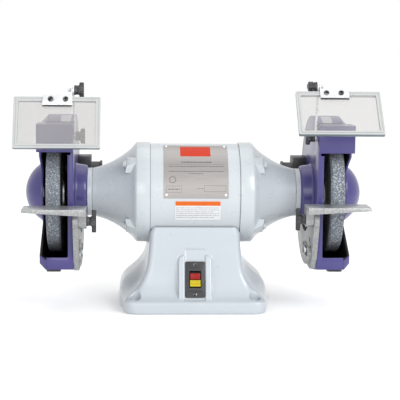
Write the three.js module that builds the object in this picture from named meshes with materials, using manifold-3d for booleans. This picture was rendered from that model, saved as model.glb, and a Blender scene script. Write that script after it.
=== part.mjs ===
// Double-ended bench grinder on a cast pedestal, for two 10 inch wheels.
//
// Millimetres, +Z up, +X to the operator's right; the operator stands on the -Y side.
// The origin is on the underside of the base, straight below the middle of the shaft.
// Each end is drawn for the right-hand (+X) side and mirrored for the left.

import * as THREE from 'three';
import { mergeVertices } from 'three/addons/utils/BufferGeometryUtils.js';
import Module from 'manifold-3d';

const wasm = await Module();
wasm.setup();

// ---------------------------------------------------------------- driving dimensions

const GAP = 0.3;                 // air left between two touching pieces
const FAR = 200;                 // reach of cutting tools, beyond every face they cut
const STUD_RADIUS = 4;           // M8 clamp studs and their clearance holes
const STUD_HOLE = 4.6;
const AXIS_HEIGHT = 238;         // shaft centre above the bench

// Motor
const BARREL_RADIUS = 103;
const BARREL_HALF = 93;          // seam between barrel and end bells
const FLANGE_RADIUS = 106;
const FLANGE_END = 121;
const BELL_END = 214.3;
const BELL_END_RADIUS = 50.8;
const BOSS_END = 144;            // bolt bosses stand out of the bell's slope to here

// Shaft and bearings
const ARBOR_RADIUS = 12.7;       // one inch arbor
const JOURNAL_RADIUS = 15;
const BEARING_RADIUS = 31;
const BEARING_START = 188;
const BEARING_END = 204;
const SHOULDER = 262;            // the arbor starts here, the inner flange rests on it
const SHAFT_END = 339;

// Wheels
const WHEEL_RADIUS = 127;
const WHEEL_START = 276.7;
const WHEEL_WIDTH = 28.6;
const WHEEL_END = WHEEL_START + WHEEL_WIDTH;
const CLAMP_FLANGE_RADIUS = 45;

// Wheel guards
const HUB_START = 224.9;
const HUB_RADIUS = 60;
const WALL_START = 249.5;        // motor side of the guard's inner wall
const GUARD_WALL = 5;
const GUARD_RADIUS = 164;
const GUARD_FRONT = 124;         // the round guard is cut flat this far in front of the shaft
const GUARD_SEAM = 304;          // the inner casting and the outer cover meet here
const GUARD_END = 319;
const MOUTH_START = 260.5;
const MOUTH_END = 314.8;
const MOUTH_BOTTOM = -122;
const MOUTH_BACK = -60;
const HOOD_BOTTOM = 88;          // above this the adjustable hood covers the mouth
const COVER_CUT_BOTTOM = 122;
const DOME_RADIUS = 62;
const DOME_HEIGHT = 36.5;

// Spark hood
const HOOD_FRONT = -130;
const HOOD_SHEET = 2.5;
const HOOD_TOP = 150.5;
const HOOD_EDGE = 94;
const HOOD_END = 324;

// Dust port
const PORT_CENTRE = { y: 112, z: 26 };
const PORT_RADIUS = 28;
const PORT_FACE = 198;           // open end of the spigot

// Tool rest
const REST_WIDTH = 127;
const REST_DEPTH = 66;
const REST_START = 221.5;
const REST_PIVOT = { y: -143, z: -44 };
const REST_TOP = 29.5;           // table above its clamp bolt
const BRACKET_BOLT = { y: -55, z: -120 };
const BRACKET_START = 238.5;
const BRACKET_END = WALL_START - GAP;

// Eye shield
const ARM_LENGTH = 106;
const ARM_START = 246;
const ARM_END = 249;
const ARM_PIVOT = { y: -85, z: 124 };
const SHIELD_WIDTH = 172;
const SHIELD_LENGTH = 110;
const SHIELD_DROP = 18;          // upper pivot to the top edge of the shield
const CLAMP_END = 308;

// How each end is adjusted, degrees and millimetres
const SIDES = [
  {
    name: 'left', side: -1, armLean: 26, shieldTilt: 26.6, shieldCentre: 279,
    bracketShift: 0, upperKnobTurn: 90,
  },
  {
    name: 'right', side: 1, armLean: 10, shieldTilt: 42, shieldCentre: 286,
    bracketShift: 5, upperKnobTurn: 0,
  },
];

// Clamp knobs
const KNOB_LENGTH = 18.5;
const KNOB_RADIUS = 10.5;

// Base
const SKIRT_HALF_WIDTH = 156;
const SKIRT_HALF_DEPTH = 136;
const SKIRT_HEIGHT = 24;
const COLUMN_HALF_WIDTH = 92;
const COLUMN_TOP = 174;
const COLUMN_TOP_HALF_DEPTH = 87;
const HOLE_SPREAD = { x: 124, y: 116 };
const HOLE_RADIUS = 5.5;         // bench bolts, M10
const PLATE_HALF = { x: 138, y: 94 };
const PLATE_THICKNESS = 3;
const INLET_FACE = 112;          // flat boss round the cord inlet, on the back
const INLET_HEIGHT = 60;

// Switch, drawn upright round its own centre and then leaned back
const SWITCH_LEAN = 18;
const SWITCH_CENTRE = { y: -109, z: 68 };
const SWITCH_PLATE = { width: 42, height: 75, thickness: 2.8 };
const ROCKER_REST = 7;           // the rocker rests this far from its middle position
const ROCKER_PIVOT = 4;          // rocker hinge behind the face of the switch

// ---------------------------------------------------------------- solids

function flipped(triangles) {
  const result = Uint32Array.from(triangles);
  for (let i = 0; i < result.length; i += 3) {
    result[i + 1] = triangles[i + 2];
    result[i + 2] = triangles[i + 1];
  }
  return result;
}

function signedVolume(positions, triangles) {
  const a = new THREE.Vector3();
  const b = new THREE.Vector3();
  const c = new THREE.Vector3();
  let total = 0;
  for (let i = 0; i < triangles.length; i += 3) {
    a.fromArray(positions, 3 * triangles[i]);
    b.fromArray(positions, 3 * triangles[i + 1]);
    c.fromArray(positions, 3 * triangles[i + 2]);
    total += a.dot(b.cross(c));
  }
  return total / 6;
}

// Closed solid of a geometry, with its shared corners merged and its faces pointing out.
function toSolid(geometry) {
  const bare = new THREE.BufferGeometry();
  bare.setAttribute('position', geometry.attributes.position);
  if (geometry.index) bare.setIndex(geometry.index);
  const merged = mergeVertices(bare, 1e-4);
  const corners = merged.index.array;
  const kept = [];
  for (let i = 0; i < corners.length; i += 3) {
    const [p, q, r] = [corners[i], corners[i + 1], corners[i + 2]];
    if (p !== q && q !== r && r !== p) kept.push(p, q, r);
  }
  const vertProperties = Float32Array.from(merged.attributes.position.array);
  let triVerts = Uint32Array.from(kept);
  if (signedVolume(vertProperties, triVerts) < 0) triVerts = flipped(triVerts);
  return new wasm.Manifold(new wasm.Mesh({ numProp: 3, vertProperties, triVerts }));
}

function toGeometry(solid, side) {
  const mesh = solid.getMesh();
  const geometry = new THREE.BufferGeometry();
  geometry.setAttribute('position', new THREE.BufferAttribute(mesh.vertProperties, 3));
  const triangles = side < 0 ? flipped(mesh.triVerts) : mesh.triVerts;
  geometry.setIndex(new THREE.BufferAttribute(triangles, 1));
  geometry.scale(side, 1, 1);
  return geometry;
}

function joined(...solids) {
  return solids.reduce((sum, next) => sum.add(next));
}

function cut(solid, ...tools) {
  return tools.reduce((rest, tool) => rest.subtract(tool), solid);
}

function block([x0, x1], [y0, y1], [z0, z1]) {
  const geometry = new THREE.BoxGeometry(x1 - x0, y1 - y0, z1 - z0);
  geometry.translate((x0 + x1) / 2, (y0 + y1) / 2, (z0 + z1) / 2);
  return toSolid(geometry);
}

// Round bar along X from x0 to x1, with its centre at (y, z).
function rod(radius, x0, x1, y = 0, z = 0, sides = 16) {
  const geometry = new THREE.CylinderGeometry(radius, radius, x1 - x0, sides);
  geometry.rotateZ(Math.PI / 2);
  geometry.translate((x0 + x1) / 2, y, z);
  return toSolid(geometry);
}

// Solid turned about the X axis from [x, radius] points.
function turned(points, sides = 32) {
  const profile = points.map(([x, radius]) => new THREE.Vector2(radius, x));
  const first = profile[0];
  const last = profile[profile.length - 1];
  if (first.x > 0 || last.x > 0) profile.push(first.clone());
  const geometry = new THREE.LatheGeometry(profile, sides);
  geometry.rotateZ(-Math.PI / 2);
  return toSolid(geometry);
}

// A flat outline given as (first, second) axis values, pushed along the third axis.
function extruded(shape, from, to, axes, curveSegments) {
  const geometry = new THREE.ExtrudeGeometry(shape, {
    depth: to - from, bevelEnabled: false, curveSegments,
  });
  geometry.translate(0, 0, from);
  geometry.applyMatrix4(new THREE.Matrix4().makeBasis(...axes));
  return toSolid(geometry);
}

const AXIS_X = new THREE.Vector3(1, 0, 0);
const AXIS_Y = new THREE.Vector3(0, 1, 0);
const AXIS_Z = new THREE.Vector3(0, 0, 1);

function plateAcrossX(shape, x0, x1, curveSegments = 8) {
  return extruded(shape, x0, x1, [AXIS_Y, AXIS_Z, AXIS_X], curveSegments);
}

function plateAcrossY(shape, y0, y1, curveSegments = 8) {
  const backwards = AXIS_Y.clone().negate();
  return extruded(shape, -y1, -y0, [AXIS_X, AXIS_Z, backwards], curveSegments);
}

function plateAcrossZ(shape, z0, z1, curveSegments = 8) {
  return extruded(shape, z0, z1, [AXIS_X, AXIS_Y, AXIS_Z], curveSegments);
}

function outline(points) {
  return new THREE.Shape(points.map(([u, v]) => new THREE.Vector2(u, v)));
}

function roundedRectangle(u0, u1, v0, v1, radius) {
  const shape = new THREE.Shape();
  shape.moveTo(u0 + radius, v0);
  shape.lineTo(u1 - radius, v0);
  shape.absarc(u1 - radius, v0 + radius, radius, -Math.PI / 2, 0);
  shape.lineTo(u1, v1 - radius);
  shape.absarc(u1 - radius, v1 - radius, radius, 0, Math.PI / 2);
  shape.lineTo(u0 + radius, v1);
  shape.absarc(u0 + radius, v1 - radius, radius, Math.PI / 2, Math.PI);
  shape.lineTo(u0, v0 + radius);
  shape.absarc(u0 + radius, v0 + radius, radius, Math.PI, 1.5 * Math.PI);
  return shape;
}

// Long rounded outline round two centres.
function obround(u0, v0, u1, v1, radius) {
  const angle = Math.atan2(v1 - v0, u1 - u0);
  const shape = new THREE.Shape();
  shape.absarc(u1, v1, radius, angle - Math.PI / 2, angle + Math.PI / 2);
  shape.absarc(u0, v0, radius, angle + Math.PI / 2, angle + 1.5 * Math.PI);
  return shape;
}

function circle(u, v, radius) {
  return obround(u, v, u, v, radius);
}

function radians(degrees) {
  return THREE.MathUtils.degToRad(degrees);
}

// ---------------------------------------------------------------- materials and scene graph

function material(color, roughness, metalness, opacity = 1) {
  return new THREE.MeshStandardMaterial({
    color, roughness, metalness, opacity, transparent: opacity < 1,
  });
}

const CASTING_GREY = material(0xd3d9dd, 0.35, 0.0);
const GUARD_PURPLE = material(0x5b5796, 0.3, 0.0);
const ABRASIVE = material(0x848b93, 0.95, 0.0);
const STEEL = material(0xb9bcbf, 0.35, 0.9);
const ZINC = material(0xd9dadb, 0.25, 0.9);
const CAST_ALUMINIUM = material(0x9a9d9c, 0.5, 0.6);
const BLACK_PLASTIC = material(0x2b2b2d, 0.5, 0.0);
const RED_PLASTIC = material(0xc22018, 0.4, 0.0);
const YELLOW_PLASTIC = material(0xe6d21f, 0.4, 0.0);
const CLEAR_PLASTIC = material(0xe8e9ea, 0.15, 0.0, 0.4);
const COPPER = material(0x9c5a33, 0.45, 0.7);
const LABEL_FILM = material(0xf2f2f2, 0.4, 0.0);

function addMesh(parent, name, solid, surface, side = 1) {
  const mesh = new THREE.Mesh(toGeometry(solid, side), surface);
  mesh.name = name;
  parent.add(mesh);
}

function addGroup(parent, y, z, turnAboutX = 0) {
  const group = new THREE.Group();
  group.position.set(0, y, z);
  group.rotation.x = turnAboutX;
  parent.add(group);
  return group;
}

// ---------------------------------------------------------------- base

// Plan of the foot: straight front and back, rounded corners and slightly bowed sides.
function footPlan(halfWidth, halfDepth) {
  const edge = halfWidth - 36;
  const shoulder = { x: halfWidth - 10, y: halfDepth - 28 };
  const shape = new THREE.Shape();
  shape.moveTo(halfWidth, 0);
  for (const [u, v, fromSide] of [[1, 1, true], [-1, 1, false], [-1, -1, true], [1, -1, false]]) {
    const bow = [u * (halfWidth - 1), v * shoulder.y / 2];
    const rounding = [u * (halfWidth - 16), v * halfDepth];
    if (fromSide) {
      shape.quadraticCurveTo(...bow, u * shoulder.x, v * shoulder.y);
      shape.quadraticCurveTo(...rounding, u * edge, v * halfDepth);
    } else {
      shape.lineTo(u * edge, v * halfDepth);
      shape.quadraticCurveTo(...rounding, u * shoulder.x, v * shoulder.y);
      shape.quadraticCurveTo(...bow, u * halfWidth, 0);
    }
  }
  return shape;
}

// Pedestal block drawn in by `inset` on every outer face.
function pedestalBlock(inset) {
  const top = COLUMN_TOP;
  const column = COLUMN_HALF_WIDTH - inset;
  const skirt = SKIRT_HALF_WIDTH - inset;
  const skirtTop = SKIRT_HEIGHT - inset;
  const front = new THREE.Shape();
  front.moveTo(-skirt, 0);
  front.lineTo(skirt, 0);
  front.lineTo(skirt, skirtTop);
  front.quadraticCurveTo(column + 20, skirtTop + 4, column + 5, 92);
  front.lineTo(column, top - 14);
  front.quadraticCurveTo(column, top, column - 14, top);
  front.lineTo(14 - column, top);
  front.quadraticCurveTo(-column, top, -column, top - 14);
  front.lineTo(-column - 5, 92);
  front.quadraticCurveTo(-column - 20, skirtTop + 4, -skirt, skirtTop);

  const depth = COLUMN_TOP_HALF_DEPTH - inset;
  const skirtDepth = SKIRT_HALF_DEPTH - inset;
  const profile = new THREE.Shape();
  profile.moveTo(-skirtDepth, 0);
  profile.lineTo(skirtDepth, 0);
  profile.lineTo(skirtDepth, skirtTop);
  profile.quadraticCurveTo(depth + 18, skirtTop + 14, depth + 9, 86);
  profile.lineTo(depth, top);
  profile.lineTo(-depth, top);
  profile.lineTo(-depth - 9, 86);
  profile.quadraticCurveTo(-depth - 18, skirtTop + 14, -skirtDepth, skirtTop);

  return plateAcrossY(front, -FAR, FAR, 5)
    .intersect(plateAcrossX(profile, -FAR, FAR, 4))
    .intersect(plateAcrossZ(footPlan(skirt, skirtDepth), 0, top, 4));
}

// Puts a solid drawn upright round the switch centre into its leaned place on the base.
function atSwitch(solid) {
  const geometry = toGeometry(solid, 1);
  geometry.rotateX(-radians(SWITCH_LEAN));
  geometry.translate(0, SWITCH_CENTRE.y, SWITCH_CENTRE.z);
  return toSolid(geometry);
}

// Raised box; the channel cut down its middle leaves a rib on each side of the switch plate.
function switchBox() {
  return plateAcrossY(roundedRectangle(-34, 34, -48, 50, 8), -4, 30, 3);
}

function switchChannel() {
  const half = SWITCH_PLATE.width / 2 + 0.7;
  return block([-half, half], [-40, 0], [-44, 47]);
}

function baseCasting() {
  const aboveSkirt = block([-60, 60], [-SKIRT_HALF_DEPTH, 0], [SKIRT_HEIGHT - 6, COLUMN_TOP]);
  const inletBoss = plateAcrossY(circle(0, INLET_HEIGHT, 19), 85, INLET_FACE, 6);
  const outer = cut(
    joined(pedestalBlock(0), atSwitch(switchBox()).intersect(aboveSkirt), inletBoss),
    atSwitch(switchChannel()));
  const room = block([-132, 132], [-88, 88], [0, COLUMN_TOP]);
  const roof = rod(BARREL_RADIUS + 9, -FAR, FAR, 0, AXIS_HEIGHT, 32);
  const hollow = cut(pedestalBlock(8).intersect(room), roof);
  const plateSeat = plateAcrossZ(
    roundedRectangle(-PLATE_HALF.x - GAP, PLATE_HALF.x + GAP,
      -PLATE_HALF.y - GAP, PLATE_HALF.y + GAP, 12),
    -1, PLATE_THICKNESS + GAP, 4);
  const saddle = rod(BARREL_RADIUS + GAP, -FAR, FAR, 0, AXIS_HEIGHT, 48);
  const switchOpening = atSwitch(block([-17, 17], [-6, 60], [-27, 27]));
  const inlet = plateAcrossY(circle(0, INLET_HEIGHT, 11.3), 60, FAR, 5);
  const bellRoom = (x0, x1) => rod(FLANGE_RADIUS + 1, x0, x1, 0, AXIS_HEIGHT, 48);
  const holes = [];
  for (const x of [-HOLE_SPREAD.x, HOLE_SPREAD.x]) {
    for (const y of [-HOLE_SPREAD.y, HOLE_SPREAD.y]) {
      holes.push(plateAcrossZ(circle(x, y, HOLE_RADIUS), -1, COLUMN_TOP, 3));
      holes.push(plateAcrossZ(circle(x, y, 2 * HOLE_RADIUS), SKIRT_HEIGHT - 3, COLUMN_TOP, 4));
    }
  }
  return cut(
    outer, hollow, plateSeat, saddle, switchOpening, inlet,
    bellRoom(BARREL_HALF - 0.5, FAR), bellRoom(-FAR, 0.5 - BARREL_HALF), ...holes);
}

function bottomPlate() {
  return plateAcrossZ(
    roundedRectangle(-PLATE_HALF.x, PLATE_HALF.x, -PLATE_HALF.y, PLATE_HALF.y, 12),
    0, PLATE_THICKNESS, 4);
}

// Screwed cord inlet in the back of the base, with a through hole for a cord.
function cordGland() {
  const end = INLET_FACE + 10;
  const body = plateAcrossY(circle(0, INLET_HEIGHT, 11), 80, end, 5);
  const nut = plateAcrossY(circle(0, INLET_HEIGHT, 14.5), INLET_FACE + GAP, end, 3);
  const bore = plateAcrossY(circle(0, INLET_HEIGHT, 5), 79, end + 1, 4);
  return cut(joined(body, nut), bore);
}

function capacitor() {
  return rod(17, -75, 15, 32, 30, 20);
}

function addBase(root) {
  const base = addGroup(root, 0, 0);
  addMesh(base, 'base_casting', baseCasting(), CASTING_GREY);
  addMesh(base, 'base_bottom_plate', bottomPlate(), STEEL);
  addMesh(base, 'cord_gland', cordGland(), BLACK_PLASTIC);
  addMesh(base, 'capacitor', capacitor(), BLACK_PLASTIC);
}

// ---------------------------------------------------------------- switch

function switchPlate() {
  const halfWidth = SWITCH_PLATE.width / 2;
  const halfHeight = SWITCH_PLATE.height / 2;
  const plate = plateAcrossY(
    roundedRectangle(-halfWidth, halfWidth, -halfHeight, halfHeight, 4),
    -GAP - SWITCH_PLATE.thickness, -GAP, 4);
  const bezel = plateAcrossY(roundedRectangle(-15, 15, -24, 24, 3), -5.2, -GAP, 3);
  const window = block([-12, 12], [-10, 2], [-17.5, 17.5]);
  return cut(joined(plate, bezel), window);
}

function switchBody() {
  const body = block([-16, 16], [0, 32], [-25.5, 25.5]);
  const pocket = block([-12, 12], [-1, 12], [-17.5, 17.5]);
  return cut(body, pocket);
}

// Rocker and key are drawn round the rocker's hinge. The rocker has a full-height back
// and a thick upper half that leaves room for the key.
function switchRocker() {
  const back = block([-10.2, 10.2], [-3, 5], [-13.5, 13.5]);
  const upper = block([-10.2, 10.2], [-12, 1], [0, 13.5]);
  return joined(back, upper);
}

function lockKey() {
  const cap = block([-11, 11], [-14, -3.4], [-13.8, -GAP]);
  const lip = block([-8, 8], [-16, -12], [-13.8, -9]);
  return joined(cap, lip);
}

function addSwitch(root) {
  const group = addGroup(root, SWITCH_CENTRE.y, SWITCH_CENTRE.z, -radians(SWITCH_LEAN));
  addMesh(group, 'switch_plate', switchPlate(), BLACK_PLASTIC);
  addMesh(group, 'switch_body', switchBody(), BLACK_PLASTIC);
  const rocker = addGroup(group, ROCKER_PIVOT, 0, radians(ROCKER_REST));
  addMesh(rocker, 'switch_rocker', switchRocker(), RED_PLASTIC);
  addMesh(rocker, 'switch_lock_key', lockKey(), YELLOW_PLASTIC);
}

// ---------------------------------------------------------------- motor

// Ring round the X axis between two radii.
function ring(inner, outer, x0, x1, sides = 32) {
  return turned([[x0, inner], [x0, outer], [x1, outer], [x1, inner]], sides);
}

function statorHousing() {
  return ring(BARREL_RADIUS - 6, BARREL_RADIUS, -BARREL_HALF, BARREL_HALF, 48);
}

// Laminated stack with a winding head at each end.
function statorCore() {
  return turned([
    [-74, 56], [-74, 84], [-48, 84], [-48, BARREL_RADIUS - 6 - GAP],
    [48, BARREL_RADIUS - 6 - GAP], [48, 84], [74, 84], [74, 56], [48, 52], [-48, 52],
  ], 24);
}

// Four square blocks on the bell's slope, above and below the shaft, for the long motor bolts.
function boltBosses() {
  const slope = turned([
    [100, 0], [100, 105], [FLANGE_END, 105], [140, 97], [BOSS_END, 92], [BOSS_END, 0],
  ], 30);
  const sides = [[-80, -47], [47, 80]];
  const pairs = sides.flatMap((ySpan) => sides.map((zSpan) => [ySpan, zSpan]));
  return pairs.map(([ySpan, zSpan]) => block([100, BOSS_END], ySpan, zSpan).intersect(slope));
}

function endBell() {
  const start = BARREL_HALF + GAP;
  const shell = turned([
    [start, FLANGE_RADIUS], [FLANGE_END, FLANGE_RADIUS], [130, 95],
    [145, 82.5], [171, 66], [BELL_END, BELL_END_RADIUS],
    [BELL_END, 20], [BEARING_END + GAP, 20], [BEARING_END + GAP, BEARING_RADIUS + GAP],
    [BEARING_START - GAP, BEARING_RADIUS + GAP], [BEARING_START - GAP, 44],
    [150, 69], [118, 97], [start, 97],
  ], 30);
  return joined(shell, ...boltBosses());
}

function bearing() {
  return ring(JOURNAL_RADIUS + GAP, BEARING_RADIUS, BEARING_START, BEARING_END, 20);
}

function neckRing() {
  return ring(22, BELL_END_RADIUS, BELL_END + GAP, HUB_START - GAP, 24);
}

function motorShaft() {
  const halfProfile = [
    [60, 20], [176, 20], [182, JOURNAL_RADIUS], [SHOULDER, JOURNAL_RADIUS],
    [SHOULDER, ARBOR_RADIUS], [SHAFT_END - 2, ARBOR_RADIUS], [SHAFT_END, ARBOR_RADIUS - 2],
  ];
  const otherHalf = halfProfile.map(([x, radius]) => [-x, radius]).reverse();
  return turned([[-SHAFT_END, 0], ...otherHalf, ...halfProfile, [SHAFT_END, 0]], 16);
}

function rotorCore() {
  return ring(20 + GAP, 51.3, -50, 50, 24);
}

// Centrifugal start switch on the shaft.
function startSwitch() {
  return turned([[92, 20 + GAP], [92, 40], [98, 40], [98, 27], [118, 27], [118, 20 + GAP]], 16);
}

// Thin plate wrapped on the barrel between two angles above the front horizon.
function wrappedPlate(halfWidth, offset, fromAngle, toAngle, thickness) {
  const inner = BARREL_RADIUS + GAP;
  const sheet = ring(inner, inner + thickness, offset - halfWidth, offset + halfWidth, 72);
  const reach = 2 * BARREL_RADIUS;
  const corner = (angle) => [-reach * Math.cos(radians(angle)), reach * Math.sin(radians(angle))];
  const middle = (fromAngle + toAngle) / 2;
  const wedge = outline([[0, 0], corner(fromAngle), corner(middle), corner(toAngle)]);
  return sheet.intersect(plateAcrossX(wedge, -FAR, FAR));
}

function addMotor(head) {
  addMesh(head, 'stator_housing', statorHousing(), CASTING_GREY);
  addMesh(head, 'stator_core', statorCore(), COPPER);
  addMesh(head, 'motor_shaft', motorShaft(), STEEL);
  addMesh(head, 'rotor_core', rotorCore(), STEEL);
  addMesh(head, 'start_switch', startSwitch(), BLACK_PLASTIC);
  addMesh(head, 'nameplate', wrappedPlate(66.5, 1, -1, 76, 0.8), ZINC);
  addMesh(head, 'info_label', wrappedPlate(47, 5, -27.5, -4.5, 0.5), LABEL_FILM);
  for (const { name, side } of SIDES) {
    addMesh(head, `end_bell_${name}`, endBell(), CASTING_GREY, side);
    addMesh(head, `bearing_${name}`, bearing(), STEEL, side);
    addMesh(head, `neck_ring_${name}`, neckRing(), CASTING_GREY, side);
  }
}

// ---------------------------------------------------------------- grinding wheels

function addWheel(head, { name, side }) {
  const bore = ARBOR_RADIUS + GAP;
  const wheel = ring(bore, WHEEL_RADIUS, WHEEL_START, WHEEL_END, 36);
  const innerFlange = ring(bore, CLAMP_FLANGE_RADIUS, SHOULDER + GAP, WHEEL_START - GAP, 20);
  const flangeEnd = WHEEL_END + 10;
  const outerFlange = ring(bore, CLAMP_FLANGE_RADIUS, WHEEL_END + GAP, flangeEnd, 20);
  const nut = cut(
    rod(21, flangeEnd + GAP, flangeEnd + 16, 0, 0, 6), rod(bore, WHEEL_END, SHAFT_END));
  addMesh(head, `grinding_wheel_${name}`, wheel, ABRASIVE, side);
  addMesh(head, `inner_flange_${name}`, innerFlange, STEEL, side);
  addMesh(head, `outer_flange_${name}`, outerFlange, STEEL, side);
  addMesh(head, `wheel_nut_${name}`, nut, STEEL, side);
}

// ---------------------------------------------------------------- wheel guards

// Side outline of the guard drawn in by `inset`: round behind, flat in front, with a square chin.
function guardOutline(inset) {
  const radius = GUARD_RADIUS - inset;
  const front = GUARD_FRONT - inset;
  const slope = radians(9);
  const tangent = { y: -radius * Math.sin(slope), z: -radius * Math.cos(slope) };
  const chin = tangent.z + Math.tan(slope) * (front + tangent.y);
  const shape = new THREE.Shape();
  shape.absarc(0, 0, radius, Math.PI - Math.acos(front / radius), -Math.PI / 2 - slope, true);
  shape.lineTo(-front, chin);
  return shape;
}

const guardPlate = (inset, x0, x1) => plateAcrossX(guardOutline(inset), x0, x1, 15);

// What the wheel's mouth takes out of the guard.
function mouthTools() {
  const far = GUARD_RADIUS + 20;
  return [
    block([MOUTH_START, MOUTH_END], [-far, MOUTH_BACK], [MOUTH_BOTTOM, HOOD_BOTTOM + 1]),
    block([WALL_START + GUARD_WALL, MOUTH_END], [-far, MOUTH_BACK], [HOOD_BOTTOM, far]),
    block([WALL_START + GUARD_WALL, GUARD_END + 1], [-far, MOUTH_BACK], [COVER_CUT_BOTTOM, far]),
  ];
}

function innerGuard(bracketShift) {
  const wallEnd = WALL_START + GUARD_WALL;
  const drum = guardPlate(0, WALL_START, GUARD_SEAM);
  const room = guardPlate(GUARD_WALL, wallEnd, GUARD_SEAM + 1);
  const shaftHole = rod(22, WALL_START - 1, wallEnd + 1, 0, 0, 24);
  const throughWall = (y, z) => rod(STUD_HOLE, WALL_START - 1, wallEnd + 1, y, z, 10);
  const studHole = throughWall(ARM_PIVOT.y, ARM_PIVOT.z);
  const boltHole = throughWall(BRACKET_BOLT.y, BRACKET_BOLT.z + bracketShift);
  const exhaust = block([WALL_START - 1, wallEnd + 1], [92, 132], [6, 46]);
  return cut(drum, room, shaftHole, studHole, exhaust, boltHole, ...mouthTools());
}

// Flanged neck that carries the guard on the end of the bell.
function guardHub() {
  const end = WALL_START - GAP;
  return turned([
    [HUB_START, HUB_RADIUS - 4], [240, HUB_RADIUS - 1], [end, HUB_RADIUS + 2],
    [end, 22], [244, 22], [244, 42], [HUB_START, 42],
  ], 24);
}

// Plate of the guard's outline whose edge slants in at 45 degrees before its outer face.
function slantedPlate(inset, x0, slantStart, x1) {
  const full = guardPlate(inset, x0, slantStart);
  const small = guardPlate(inset + x1 - slantStart, x1 - 0.01, x1);
  return wasm.Manifold.hull([full, small]);
}

// Round cap over the wheel nut, from a flat back at `start`, drawn in by `inset`.
function domeCap(inset, start) {
  const sphere = (DOME_RADIUS ** 2 + DOME_HEIGHT ** 2) / (2 * DOME_HEIGHT);
  const centre = GUARD_END + DOME_HEIGHT - sphere;
  const radius = sphere - inset;
  const open = Math.asin((DOME_RADIUS - inset) / radius);
  const steps = 3;
  const points = [[start, 0], [start, DOME_RADIUS - inset]];
  for (let i = 0; i < steps; i += 1) {
    const angle = open * (1 - i / steps);
    points.push([centre + radius * Math.cos(angle), radius * Math.sin(angle)]);
  }
  return turned([...points, [centre + radius, 0]], 40);
}

// Outer cover: a flat plate with a slanted edge, a dome, and a notch that bares the wheel's side.
function outerCover() {
  const seam = GUARD_SEAM + GAP;
  const skin = GUARD_END - MOUTH_END;
  const shell = joined(slantedPlate(0, seam, 306, GUARD_END), domeCap(0, GUARD_END - 1));
  const room = slantedPlate(GUARD_WALL, seam - 1, seam, MOUTH_END);
  const notch = plateAcrossX(
    outline([[-FAR, 133], [0, 25], [10, -46], [-FAR, -172]]), GUARD_SEAM, GUARD_END + 1)
    .subtract(rod(DOME_RADIUS + 4, GUARD_SEAM - 1, GUARD_END + 2, 0, 0, 40));
  return cut(shell, room, domeCap(skin, MOUTH_END - 1), notch, ...mouthTools());
}

// Sheet hood over the upper front of the mouth; it slides down as the wheel wears.
function sparkHood() {
  const back = MOUTH_BACK - 4;
  const start = WALL_START;
  const innerStart = WALL_START + GUARD_WALL + 0.7;
  const bend = 7;
  const outerEdge = [
    [start, HOOD_FRONT], [HOOD_END - bend, HOOD_FRONT], [HOOD_END, HOOD_FRONT + bend],
    [HOOD_END, back],
  ];
  const insideEnd = HOOD_END - HOOD_SHEET;
  const insideFront = HOOD_FRONT + HOOD_SHEET;
  const front = outline([
    ...outerEdge, [insideEnd, back], [insideEnd, HOOD_FRONT + bend + 1],
    [HOOD_END - bend - 1, insideFront], [start, insideFront],
  ]);
  const aheadOfGuard = -GUARD_FRONT - 1.5;
  const top = outline([
    ...outerEdge, [innerStart, back], [innerStart, aheadOfGuard], [start, aheadOfGuard],
  ]);
  const innerSide = block(
    [innerStart, innerStart + HOOD_SHEET], [HOOD_FRONT + 1, back], [112, HOOD_TOP]);
  return joined(
    plateAcrossZ(front, HOOD_EDGE, HOOD_TOP),
    plateAcrossZ(top, HOOD_TOP - HOOD_SHEET, HOOD_TOP),
    innerSide);
}

// Box on the guard's back with a round spigot for a dust hose.
function dustPort() {
  const { y, z } = PORT_CENTRE;
  const end = WALL_START - GAP;
  const boxStart = 222;
  const box = plateAcrossX(roundedRectangle(80, 144, -14, 68, 8), boxStart, end, 3);
  const spigot = rod(PORT_RADIUS, PORT_FACE, boxStart + 1, y, z, 20);
  const lip = rod(PORT_RADIUS + 2.5, PORT_FACE, PORT_FACE + 4, y, z, 20);
  const bore = rod(PORT_RADIUS - 4, PORT_FACE - 1, boxStart + 6, y, z, 20);
  const room = block([boxStart + 5, end + 1], [85, 139], [-9, 62]);
  return cut(joined(box, spigot, lip), bore, room);
}

// Black clip under the chin that holds the cover to the casting.
function coverClip() {
  const strap = guardPlate(-4.3, 278, 306).subtract(guardPlate(-GAP, 277, 307));
  return strap.intersect(block([270, 320], [-98, -66], [-GUARD_RADIUS - 10, -100]));
}

function addGuard(head, { name, side, bracketShift }) {
  addMesh(head, `inner_guard_${name}`, innerGuard(bracketShift), GUARD_PURPLE, side);
  addMesh(head, `guard_hub_${name}`, guardHub(), GUARD_PURPLE, side);
  addMesh(head, `outer_cover_${name}`, outerCover(), GUARD_PURPLE, side);
  addMesh(head, `spark_hood_${name}`, sparkHood(), GUARD_PURPLE, side);
  addMesh(head, `dust_port_${name}`, dustPort(), BLACK_PLASTIC, side);
  addMesh(head, `cover_clip_${name}`, coverClip(), BLACK_PLASTIC, side);
}

// ---------------------------------------------------------------- clamp knobs

// T-handled clamp screw along X; its face is at x = 0, the screw points to +x.
function clampKnob(x, barLength, studLength, turn) {
  const back = x - KNOB_LENGTH;
  const hub = rod(KNOB_RADIUS, back, x, 0, 0, 16);
  const reach = barLength / 2 - 5;
  const bar = plateAcrossX(obround(-reach, 0, reach, 0, 5), back - 0.5, back + 8.5, 3);
  const stud = rod(STUD_RADIUS, x - 1, x + studLength, 0, 0, 8);
  const geometry = toGeometry(joined(hub, bar, stud), 1);
  geometry.rotateX(radians(turn));
  return toSolid(geometry);
}

// ---------------------------------------------------------------- tool rests

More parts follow.
